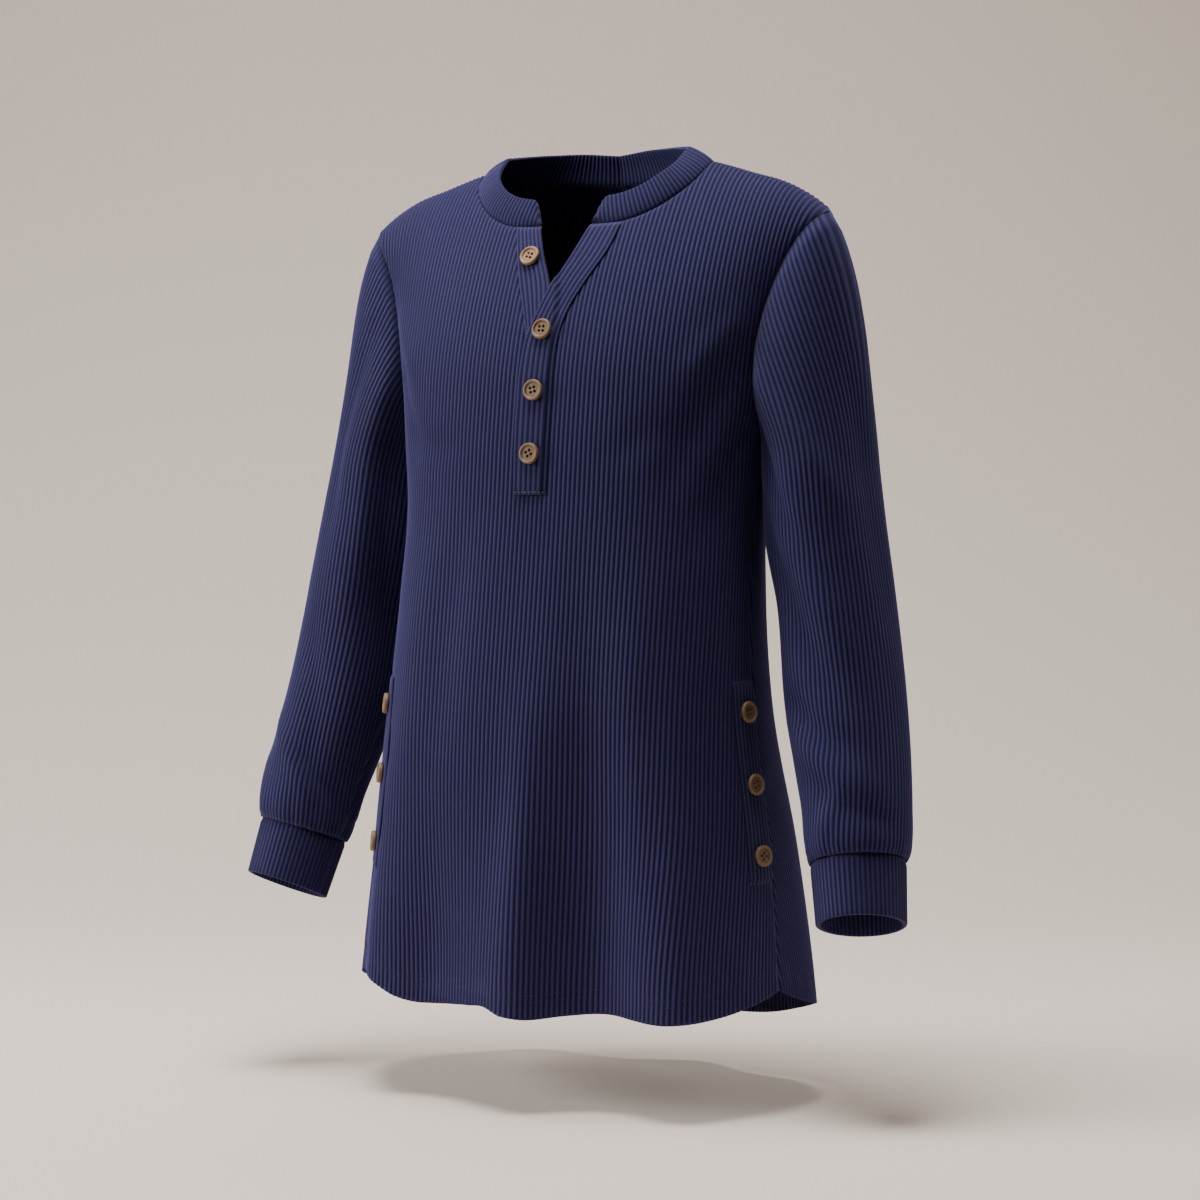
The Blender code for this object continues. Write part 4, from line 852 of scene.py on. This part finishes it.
def neckband():
    """The neckline's halves make one seam line. At each point of it a doubled strip's rows rise along
    `stand` outside, turn over the fold and come down inside."""
    seam, inward, place = [], [], []
    for panel, here, start in (("front", slice(None, None, -1), 0), ("back", slice(1, None), 1)):
        flat = neck_seam(panel, KNIT_RIB / RIB_COLUMNS)
        face = unit(sample(NORMALS[panel], *flat.T))
        if panel == "front":
            face[0] = unit(sample(NORMALS["front"], NECK_S, 0) + sample(NORMALS["back"], NECK_S, 0))
        seam.append(sample(GRIDS[panel], *flat.T)[here])
        inward.append(-face[here])
        place.append(np.linspace(start, start + 1, len(flat))[start:])
    seam, inward, place = [np.concatenate(halves) for halves in (seam, inward, place)]
    place = np.append(place, place[-2::-1])
    seam, inward = [np.concatenate([part, part[-2::-1] * [-1, 1, 1]]) for part in (seam, inward)]
    along = unit(np.gradient(seam, axis=0))
    away = unit(np.cross(inward, along))
    away *= np.sign((away * (seam * [-1, 0, 0] + [0, 0, 0.03])).sum(1))[:, None]
    run = run_along(seam)
    from_middle, from_end = run - run[-1] / 2, np.minimum(run, run[-1] - run)
    stand = np.stack([
        -np.sign(seam[:, 0]) * read(BAND, "inward", place), read(BAND, "back", place),
        read(BAND, "rise", place),
    ], 1)
    stand *= np.sin(math.pi / 2 * np.clip(from_end / BAND_END_ROUND, 0.08, 1))[:, None]
    face = unit(np.cross(stand, along))
    face *= -np.sign((face * inward).sum(1))[:, None]
    seam = seam + away * SEAM_GAP / 2
    height = np.linalg.norm(stand, axis=1)[:, None]
    up = stand / height
    ply = BAND_PLY / 2
    ribs = rib(from_middle, DOUBLED_RIB) * ease(from_end / 0.003)
    rows, v = [], []
    for u, aside, over in doubled(12, 7, 8):
        out = unit(face * min(1, u * 3) - inward * (1 - min(1, u * 3)))
        pressed = ease((height[:, 0] * u - 0.0006) / 0.003)
        middle = seam + up * (height - ply) * u + out * (BAND_SWELL * math.sin(math.pi * u) - ply)
        rows.append(middle + out * (aside * (ply + ribs * pressed))[:, None] + up * ply * over)
        v.append(u * BAND_GRAIN if aside > 0 else (2 - u) * BAND_GRAIN + BAND_TURN)
    rows = np.array(rows)
    index = np.arange(rows[..., 0].size).reshape(len(rows), -1)
    grain = np.stack(np.broadcast_arrays(from_middle, np.array(v)[:, None]), -1)
    first, last = index[:, 0], index[:, -1]
    caps = [(first[0], first[k + 1], first[k]) for k in range(1, len(rows) - 1)]
    caps += [(last[0], last[k], last[k + 1]) for k in range(1, len(rows) - 1)]
    faces = np.concatenate([grid_triangles(index, flip=True, round_rows=True), caps])
    piece = knit_piece("neckband_cloth", rows, grain, faces)
    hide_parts("neckband")


neckband()

# ---- Plackets and side strips ----
# The placket is two folded strips that overlap, open at the neck. Two shorter strips lie beside the
# side seams. Their ribs run along them, and their edges are topstitched.
PLACKET_PLY = 0.0013
STRIP_LIFT = 0.0002
STRIP_RIB = 0.0008
STRIP_RIBS = 7
PLACKET_TOP = -0.0530


def strip_piece(name, node, free, sewn, v, lift, flat):
    """A strip on the front between its two edges, with four lines to a rib and one close inside each
    edge. Its edges are rounded down and its ribs pressed there."""
    close = 0.0007 / flat[0]
    lines = [0, close, *np.linspace(0, 1, STRIP_RIBS * RIB_COLUMNS + 1)[1:-1], 1 - close, 1]
    s = free + (sewn - free) * np.array(lines)
    v = v(s)
    across, end = np.linspace(0, 1, len(lines)), np.linspace(0, 1, len(s))[:, None]
    edge = np.minimum(np.minimum(across, 1 - across) * flat[0], np.minimum(end, 1 - end) * flat[1])
    ribs = across * STRIP_RIBS - 0.5
    crest = STRIP_RIB * (0.5 + 0.5 * np.cos(2 * math.pi * ribs))
    out = lift(s) + PLACKET_PLY + crest * ease(edge / 0.002) - 0.0009 * (1 - ease(edge / 0.0012))
    points = on_cloth("front", s, v, out)[0]
    grain = np.stack(np.broadcast_arrays(ribs * KNIT_RIB, end * flat[1]), -1)
    faces = grid_triangles(np.arange(s.size).reshape(s.shape), flip=s[0, -1] <= s[0, 0])
    piece = knit_piece(name, points, grain, faces, PLACKET_PLY)
    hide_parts(node)


def under_lift(s, _):
    return 0 * s + STRIP_LIFT


def over_lift(s, z):
    """The upper placket lies on the lower one where that runs beneath it, and on the front beyond."""
    edge = read(UNDER_PLACKET, "free", z)
    return STRIP_LIFT + (PLACKET_PLY + STRIP_RIB + SEAM_GAP) * ease((edge + 0.0100 - s) / 0.004)


PLACKETS = {"under": (UNDER_PLACKET, under_lift), "over": (OVER_PLACKET, over_lift)}


def placket(word):
    edges, lift_at = PLACKETS[word]
    z = np.linspace(PLACKET_TOP, edges[-1].z, 60)[:, None]
    free, sewn = read(edges, "free", z), read(edges, "sewn", z)
    flat = (float(np.abs(sewn - free).mean()), float(PLACKET_TOP - edges[-1].z))
    strip_piece(
        f"{word}_placket_cloth", f"{word}_placket", free, sewn,
        lambda s: drop("front", s[:, s.shape[1] // 2], z[:, 0])[:, None] + 0 * s,
        lambda s: lift_at(s, z), flat)


def side_strip(word):
    z = np.linspace(SIDE_STRIP_TOP, SIDE_STRIP_BOTTOM, 40)
    side, seam = SIDES[word], side_s("front", z, SIDES[word])[:, None]
    free, sewn = [side * (seam - off) for off in SIDE_STRIP_EDGES]
    flat = (SIDE_STRIP_EDGES[1] - SIDE_STRIP_EDGES[0], SIDE_STRIP_TOP - SIDE_STRIP_BOTTOM)
    strip_piece(
        f"side_strip_{word}_cloth", "side_strip_" + word, free, sewn,
        lambda s: LEVEL - z[:, None] + 0 * s, lambda s: STRIP_LIFT + 0 * s, flat)


for word in PLACKETS:
    placket(word)
for word in SIDES:
    side_strip(word)

# ---- Buttons ----
# Turned coconut-shell buttons with a raised rim, a sunk middle and four holes. Painted shade darkens
# the
#  holes and the groove inside the rim.
BUTTON_R, BUTTON_THICK = 0.0088, 0.0036
BUTTON_HOLE, HOLE_OFF, HOLE_DEPTH = 0.00120, 0.0018, 0.0018
PLACKET_BUTTONS = table(
    "s z placket tone",  # tone 0 is dark shell and 1 is pale
    (-0.0235, -0.081, "under", 1.0), (0.005, -0.145, "over", 0.34), (0.003, -0.195, "over", 0.4),
    (0.003, -0.2475, "over", 0.36),
)
SIDE_BUTTON_TONE = 0.50
SIDE_BUTTON_HEIGHTS = (-0.4605, -0.520, -0.5785)
SHANK_TILT = 0.16  # a button on the left side hangs this far forward on its thread


def button_material():
    """Sanded coconut shell: fine streaks along the grain and flecks; the piece's own attributes set its
    tone and paint shade, nearly black, into its turned groove and its holes."""
    wood = Nodes("coconut_shell")
    place = wood.add("ShaderNodeUVMap", {"uv_map": "grain"})[0]
    stretched = wood.add("ShaderNodeMapping", Vector=place, Scale=(1.0, 0.16, 1.0))[0]
    streak = wood.noise(stretched, 1400.0, 4.0, 0.6)
    shade = wood.mix(streak, (0.235, 0.130, 0.060, 1), (0.430, 0.275, 0.150, 1))
    fleck = wood.math("GREATER_THAN", wood.noise(place, 2600.0, 2.0, 0.5), 0.63)
    shade = wood.mix(wood.math("MULTIPLY", fleck, 0.45), shade, (0.22, 0.13, 0.075, 1))
    tone, depth = [
        wood.add("ShaderNodeAttribute", {"attribute_name": word})["Fac"] for word in ("tone", "sunk")]
    shade = wood.mix(tone, (0.120, 0.074, 0.038, 1), shade)
    # painted shade: the holes and the groove inside the rim go nearly black by the sunk attribute
    shade = wood.mix(depth, shade, (0.006, 0.005, 0.006, 1))
    bump = wood.add("ShaderNodeBump", Strength=0.25, Distance=0.0001, Height=streak)[0]
    return wood.finish(Base_Color=shade, Normal=bump, Roughness=0.48, Specular_IOR_Level=0.4)


COCONUT = button_material()


def button_profile():
    """Radius and height along a button's side and face, from the back's middle to the front's."""
    rows = ((0, 0), (0.6, 0), (0.93, 0), (0.985, 0.0004), (1, 0.0011), (1, 0.0023), (0.985, 0.0029))
    radius, height = zip(*rows)
    sunk = BUTTON_THICK - 0.0011
    rim = np.linspace(0.965, 0.70, 9)
    swell = np.sin(np.clip((0.975 - rim) / 0.25, 0, 1) * math.pi) ** 0.7
    rim_height = np.where(
        rim > 0.85, BUTTON_THICK - 0.0004 * (1 - swell), sunk + (BUTTON_THICK - sunk) * swell)
    face = np.concatenate([np.linspace(0.68, 0.38, 5), np.linspace(0.36, 0.02, 22)])
    height = np.concatenate([height, rim_height, sunk + 0.00012 * np.cos(face * 4)])
    return np.concatenate([radius, rim, face]) * BUTTON_R, height


def button(name, s, v, lift, turn, tone, tilt=0.0):
    """The profile turned in 72 steps; the face drops at the four holes."""
    radius, height = button_profile()
    angle = np.linspace(0, 2 * math.pi, 73)
    x, y = radius[:, None] * np.cos(angle), radius[:, None] * np.sin(angle)
    face = height[:, None] > BUTTON_THICK / 2
    apart = np.hypot(np.abs(x) - HOLE_OFF, np.abs(y) - HOLE_OFF)
    hole = ease((BUTTON_HOLE + 0.00012 - apart) / 0.00030) * face
    z = height[:, None] - HOLE_DEPTH * hole
    # where shade is painted: the holes, and a ring at the groove inside the rim
    sunk = np.maximum(hole, 0.45 * bell(np.hypot(x, y) / BUTTON_R - 0.69, 0.03) * face)
    c, d = math.cos(turn), math.sin(turn)
    out = unit(sample(NORMALS["front"], s, v))
    out = unit(out * math.cos(tilt) + np.array([out[1], -abs(out[0]), 0]) * math.sin(tilt))
    across = unit(np.cross([0, 0, 1.0], out))
    up = np.cross(out, across)
    lift += 0.5 * BUTTON_R * math.sin(tilt)
    centre = on_cloth("front", np.float64(s), np.float64(v), np.float64(lift))[0]
    points = (
        centre + (x * c - y * d)[..., None] * across + (x * d + y * c)[..., None] * up
        + z[..., None] * out
    )
    index = np.arange(x.size).reshape(x.shape)
    index[:, -1] = index[:, 0]
    index[0] = 0
    index[-1] = index[-1, 0]
    faces = grid_triangles(index, flip=True)
    grain = np.stack([x + sum(map(ord, name)) % 17 * 0.01, y], -1)
    piece = knit_piece(name + "_turned", points, grain, faces, material=COCONUT)
    used = np.unique(faces)
    for word, values in (("sunk", sunk.ravel()[used]), ("tone", np.full(len(used), tone))):
        piece.data.attributes.new(word, "FLOAT", "POINT").data.foreach_set("value", values)
    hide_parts(name)


SEAT = PLACKET_PLY + STRIP_RIB + SEAM_GAP  # a button sits this far above its strip's underside
for number, place in enumerate(PLACKET_BUTTONS, 1):
    seat = float(PLACKETS[place.placket][1](np.float64(place.s), place.z)) + SEAT
    down = drop("front", [place.s], [place.z])[0]
    button(f"placket_button_{number}", place.s, down, seat, 0.25 * number - 0.5, place.tone)
for word, side in SIDES.items():
    for number, z in enumerate(SIDE_BUTTON_HEIGHTS, 1):
        s = side * (side_s("front", z, side)[0] - sum(SIDE_STRIP_EDGES) / 2)
        tilt = SHANK_TILT if side > 0 else 0.0
        button(f"side_button_{word}_{number}", s, LEVEL - z, STRIP_LIFT + SEAT, 0.2 * number * side,
               SIDE_BUTTON_TONE, tilt)

# ---- Stitching ----
# Navy thread: two rows of coverstitch round the hem, one above each cuff, a row of topstitch below
# the neckband, and rows along the edges of the plackets and side strips.
THREAD_R = 0.00024


def thread_material(name, shade):
    thread = Nodes(name)
    twist = thread.noise(thread.add("ShaderNodeTexCoord")["Object"], 2500.0, 2.0, 0.6)
    light = (*(1.7 * c for c in shade[:3]), 1)
    return thread.finish(Base_Color=thread.mix(twist, shade, light), Roughness=0.85)


NAVY_THREAD = thread_material("navy_thread", (0.011, 0.010, 0.038, 1))
PALE_THREAD = thread_material("pale_navy_thread", (0.140, 0.140, 0.260, 1))


def stitch_row(path, face, length, gap, radius=THREAD_R):
    """Points and triangles of the stitches along a path: spindles of five rings of six points."""
    run = run_along(path)
    count = max(1, int(run[-1] / (length + gap)))
    centre = (np.arange(count) + 0.5) * run[-1] / count
    spread = np.array([-0.5, -0.36, 0.0, 0.36, 0.5])
    girth = np.array([0.25, 0.85, 1.0, 0.85, 0.25]) * radius
    rise = np.array([-0.8, 0.15, 0.35, 0.15, -0.8]) * radius
    places = centre[:, None] + spread * length
    near = [between(centre + step, run, path) for step in (-0.0004, 0.0004)]
    forward = unit(near[1] - near[0])[:, None]
    aside = unit(np.cross(forward, unit(between(places, run, face))))
    out = np.cross(aside, forward)
    middle = between(places, run, path) + out * rise[:, None]
    angle = np.arange(6)[:, None] * math.pi / 3
    ring = aside[:, :, None] * np.cos(angle) + out[:, :, None] * np.sin(angle)
    points = middle[:, :, None] + ring * girth[:, None, None]
    index = np.arange(30).reshape(5, 6)
    caps = [[0, k, k + 1] for k in range(1, 5)] + [[24, 24 + k + 1, 24 + k] for k in range(1, 5)]
    faces = np.concatenate([grid_triangles(np.concatenate([index, index[:, :1]], 1)), caps])
    return points.reshape(-1, 3), (faces[None] + 30 * np.arange(count)[:, None, None]).reshape(-1, 3)


def thread_piece(name, rows, material=NAVY_THREAD):
    starts = np.cumsum([0] + [len(points) for points, _ in rows])
    points = np.concatenate([points for points, _ in rows])
    faces = np.concatenate([faces + start for (_, faces), start in zip(rows, starts)])
    knit_piece(name, points, points[:, :2], faces, material=material)


def body_row(panel, s, v, out, *stitch):
    return stitch_row(*on_cloth(panel, s, v, 0 * s + out), *stitch)


def hem_rows(panel):
    rows = []
    for above in HEM_ROWS:
        s = np.arange(-CORNER_S[panel, -1], CORNER_S[panel, 1], 0.0015)
        v = hem_v(panel, s) - above
        inside = from_seam(panel, s, v) > 0.003
        rows.append(body_row(panel, s[inside], v[inside], RIB_HEIGHT * 0.5, 0.0030, 0.0007))
    return rows


def neck_rows(panel):
    """The neckline's two halves, moved down the cloth by a stitch's margin."""
    flat = neck_seam(panel, 0.002)
    tangent = unit(np.gradient(flat, axis=0))
    normal = np.stack([-tangent[:, 1], tangent[:, 0]], 1)
    normal *= np.sign(normal[len(normal) // 2, 1])
    s, v = (flat + normal * 0.0030)[2:-1].T
    v = np.maximum(v, 0.0015)
    return [body_row(panel, side * s, v, 0.0002, 0.0024, 0.0006) for side in (1, -1)]


def strip_row(s, v, lift):
    return body_row("front", s, v, lift + PLACKET_PLY, 0.0022, 0.0007, THREAD_R * 0.9)


def placket_rows(word, margins, bottom=None):
    """Rows this far inside the free and the sewn edge, and one this far above the lower end."""
    edges, lift_at = PLACKETS[word]

    def row_at(s, z):
        return strip_row(s, drop("front", s, z), lift_at(s, z))

    z = np.linspace(PLACKET_TOP - 0.003, edges[-1].z + 0.0025, 80)
    free, sewn = read(edges, "free", z), read(edges, "sewn", z)
    rows = []
    for edge, margin, way in zip((free, sewn), margins, np.sign([sewn - free, free - sewn])):
        if margin:
            rows.append(row_at(edge + way * margin, z))
    if bottom:
        z = np.full(16, edges[-1].z + bottom)
        free, sewn = read(edges, "free", z), read(edges, "sewn", z)
        rows.append(row_at(free + np.linspace(0.05, 0.95, 16) * (sewn - free), z))
    return rows


def side_strip_rows(side):
    near, far = SIDE_STRIP_EDGES
    lines = [(np.linspace(SIDE_STRIP_TOP - 0.002, SIDE_STRIP_BOTTOM + 0.002, 80), off)
             for off in (near + 0.0018, far - 0.0018)]
    lines += [(np.full(16, z), np.linspace(near + 0.002, far - 0.002, 16))
              for z in (SIDE_STRIP_TOP - 0.0022, SIDE_STRIP_BOTTOM + 0.0022)]
    return [
        strip_row(side * (side_s("front", z, side) - off), LEVEL - z, STRIP_LIFT) for z, off in lines]


def cuff_row(side):
    """A ring of stitches on the sleeve, just above its cuff."""
    w = np.linspace(-0.124, 0.124, 160)
    points, face, half = sleeve_rows(w)
    k = int(np.argmin(np.abs(points[:, len(w) // 2, 2] - (ARM_Z[-1] + CUFF_STITCH))))
    keep = np.abs(w) < half[k]
    lift = RIB_HEIGHT * 0.5 + gathers(w, points[k, :, 2] - ARM_Z[-1], side + 2)
    path = (points[k] + face[k] * lift[:, None])[keep]
    mirror = np.array([side, 1, 1])
    return stitch_row(path * mirror, face[k][keep] * mirror, 0.0028, 0.0007)


thread_piece("hem_stitching", hem_rows("front") + hem_rows("back"))
thread_piece("neck_stitching", neck_rows("front") + neck_rows("back"))
thread_piece("cuff_stitching", [cuff_row(1), cuff_row(-1)])
thread_piece(
    "placket_stitching",
    placket_rows("over", (0.0022, 0.0020), 0.0022) + placket_rows("under", (0.0, 0.0020)), PALE_THREAD)
thread_piece("side_strip_stitching", side_strip_rows(1) + side_strip_rows(-1))

# ---- Floor, light and camera ----
# A pale sheet of paper sweeps up behind the top. One large soft light stands above it, a second at
# the left lights the folds from the side, and a weak third edges the far sleeve.
FLOOR_Z = -0.790
SWEEP_Y, SWEEP_R = 1.0, 1.8
VIEW_TURN = math.radians(28.7)  # the camera stands this far round to the wearer's left


def backdrop():
    """Flat floor, a quarter circle, then a wall, swept sideways."""
    bend = np.linspace(0, math.pi / 2, 25)
    y = np.concatenate([[-0.75], SWEEP_Y + SWEEP_R * np.sin(bend), [SWEEP_Y + SWEEP_R]])[:, None]
    z = np.concatenate([[0.0], SWEEP_R * (1 - np.cos(bend)), [5.0]])[:, None] + FLOOR_Z
    x = np.array([-1.8, 1.8])
    c, d = math.cos(VIEW_TURN), math.sin(VIEW_TURN)
    points = np.stack([x * c - y * d, x * d + y * c, z + 0 * x], -1).reshape(-1, 3)
    mesh = bpy.data.meshes.new("backdrop")
    index = np.arange(len(points)).reshape(-1, 2)
    mesh.from_pydata(points.tolist(), [], grid_triangles(index, flip=True).tolist())
    paper = Nodes("backdrop_paper").finish(
        Base_Color=(0.880, 0.770, 0.680, 1), Roughness=0.9, Specular_IOR_Level=0.1)
    add_object("backdrop", mesh, paper)


def area_light(name, place, aim, size, power, tint):
    light = bpy.data.lights.new(name, "AREA")
    light.shape, light.size, light.energy, light.color = "DISK", size, power, tint
    lamp = bpy.data.objects.new(name, light)
    lamp.location = place
    lamp.rotation_euler = (Vector(aim) - Vector(place)).to_track_quat("-Z", "Y").to_euler()
    bpy.context.scene.collection.objects.link(lamp)


backdrop()
area_light("top", (-0.12, -0.25, 1.80), (0.0, -0.05, -0.40), 1.30, 78, (1.0, 0.985, 0.965))
area_light("key", (-2.30, -1.50, 0.45), (0.0, 0.0, -0.48), 1.3, 70, (1.0, 0.985, 0.97))
area_light("edge", (1.7, 1.7, 0.6), (0.2, 0.0, -0.35), 1.0, 13, (1.0, 0.98, 0.96))
world = bpy.data.worlds.new("studio")
world.use_nodes = True
background = world.node_tree.nodes["Background"].inputs
background["Color"].default_value = (1.0, 0.975, 0.95, 1)
background["Strength"].default_value = 0.12
bpy.context.scene.world = world

camera_data = bpy.data.cameras.new("camera")
camera_data.sensor_width, camera_data.lens = 36.0, 90.18
camera = bpy.data.objects.new("camera", camera_data)
camera.location = (1.2510, -2.2806, -0.297)
camera.rotation_euler = (math.radians(90 - 1.64), 0, VIEW_TURN)
bpy.context.scene.collection.objects.link(camera)
bpy.context.scene.camera = camera
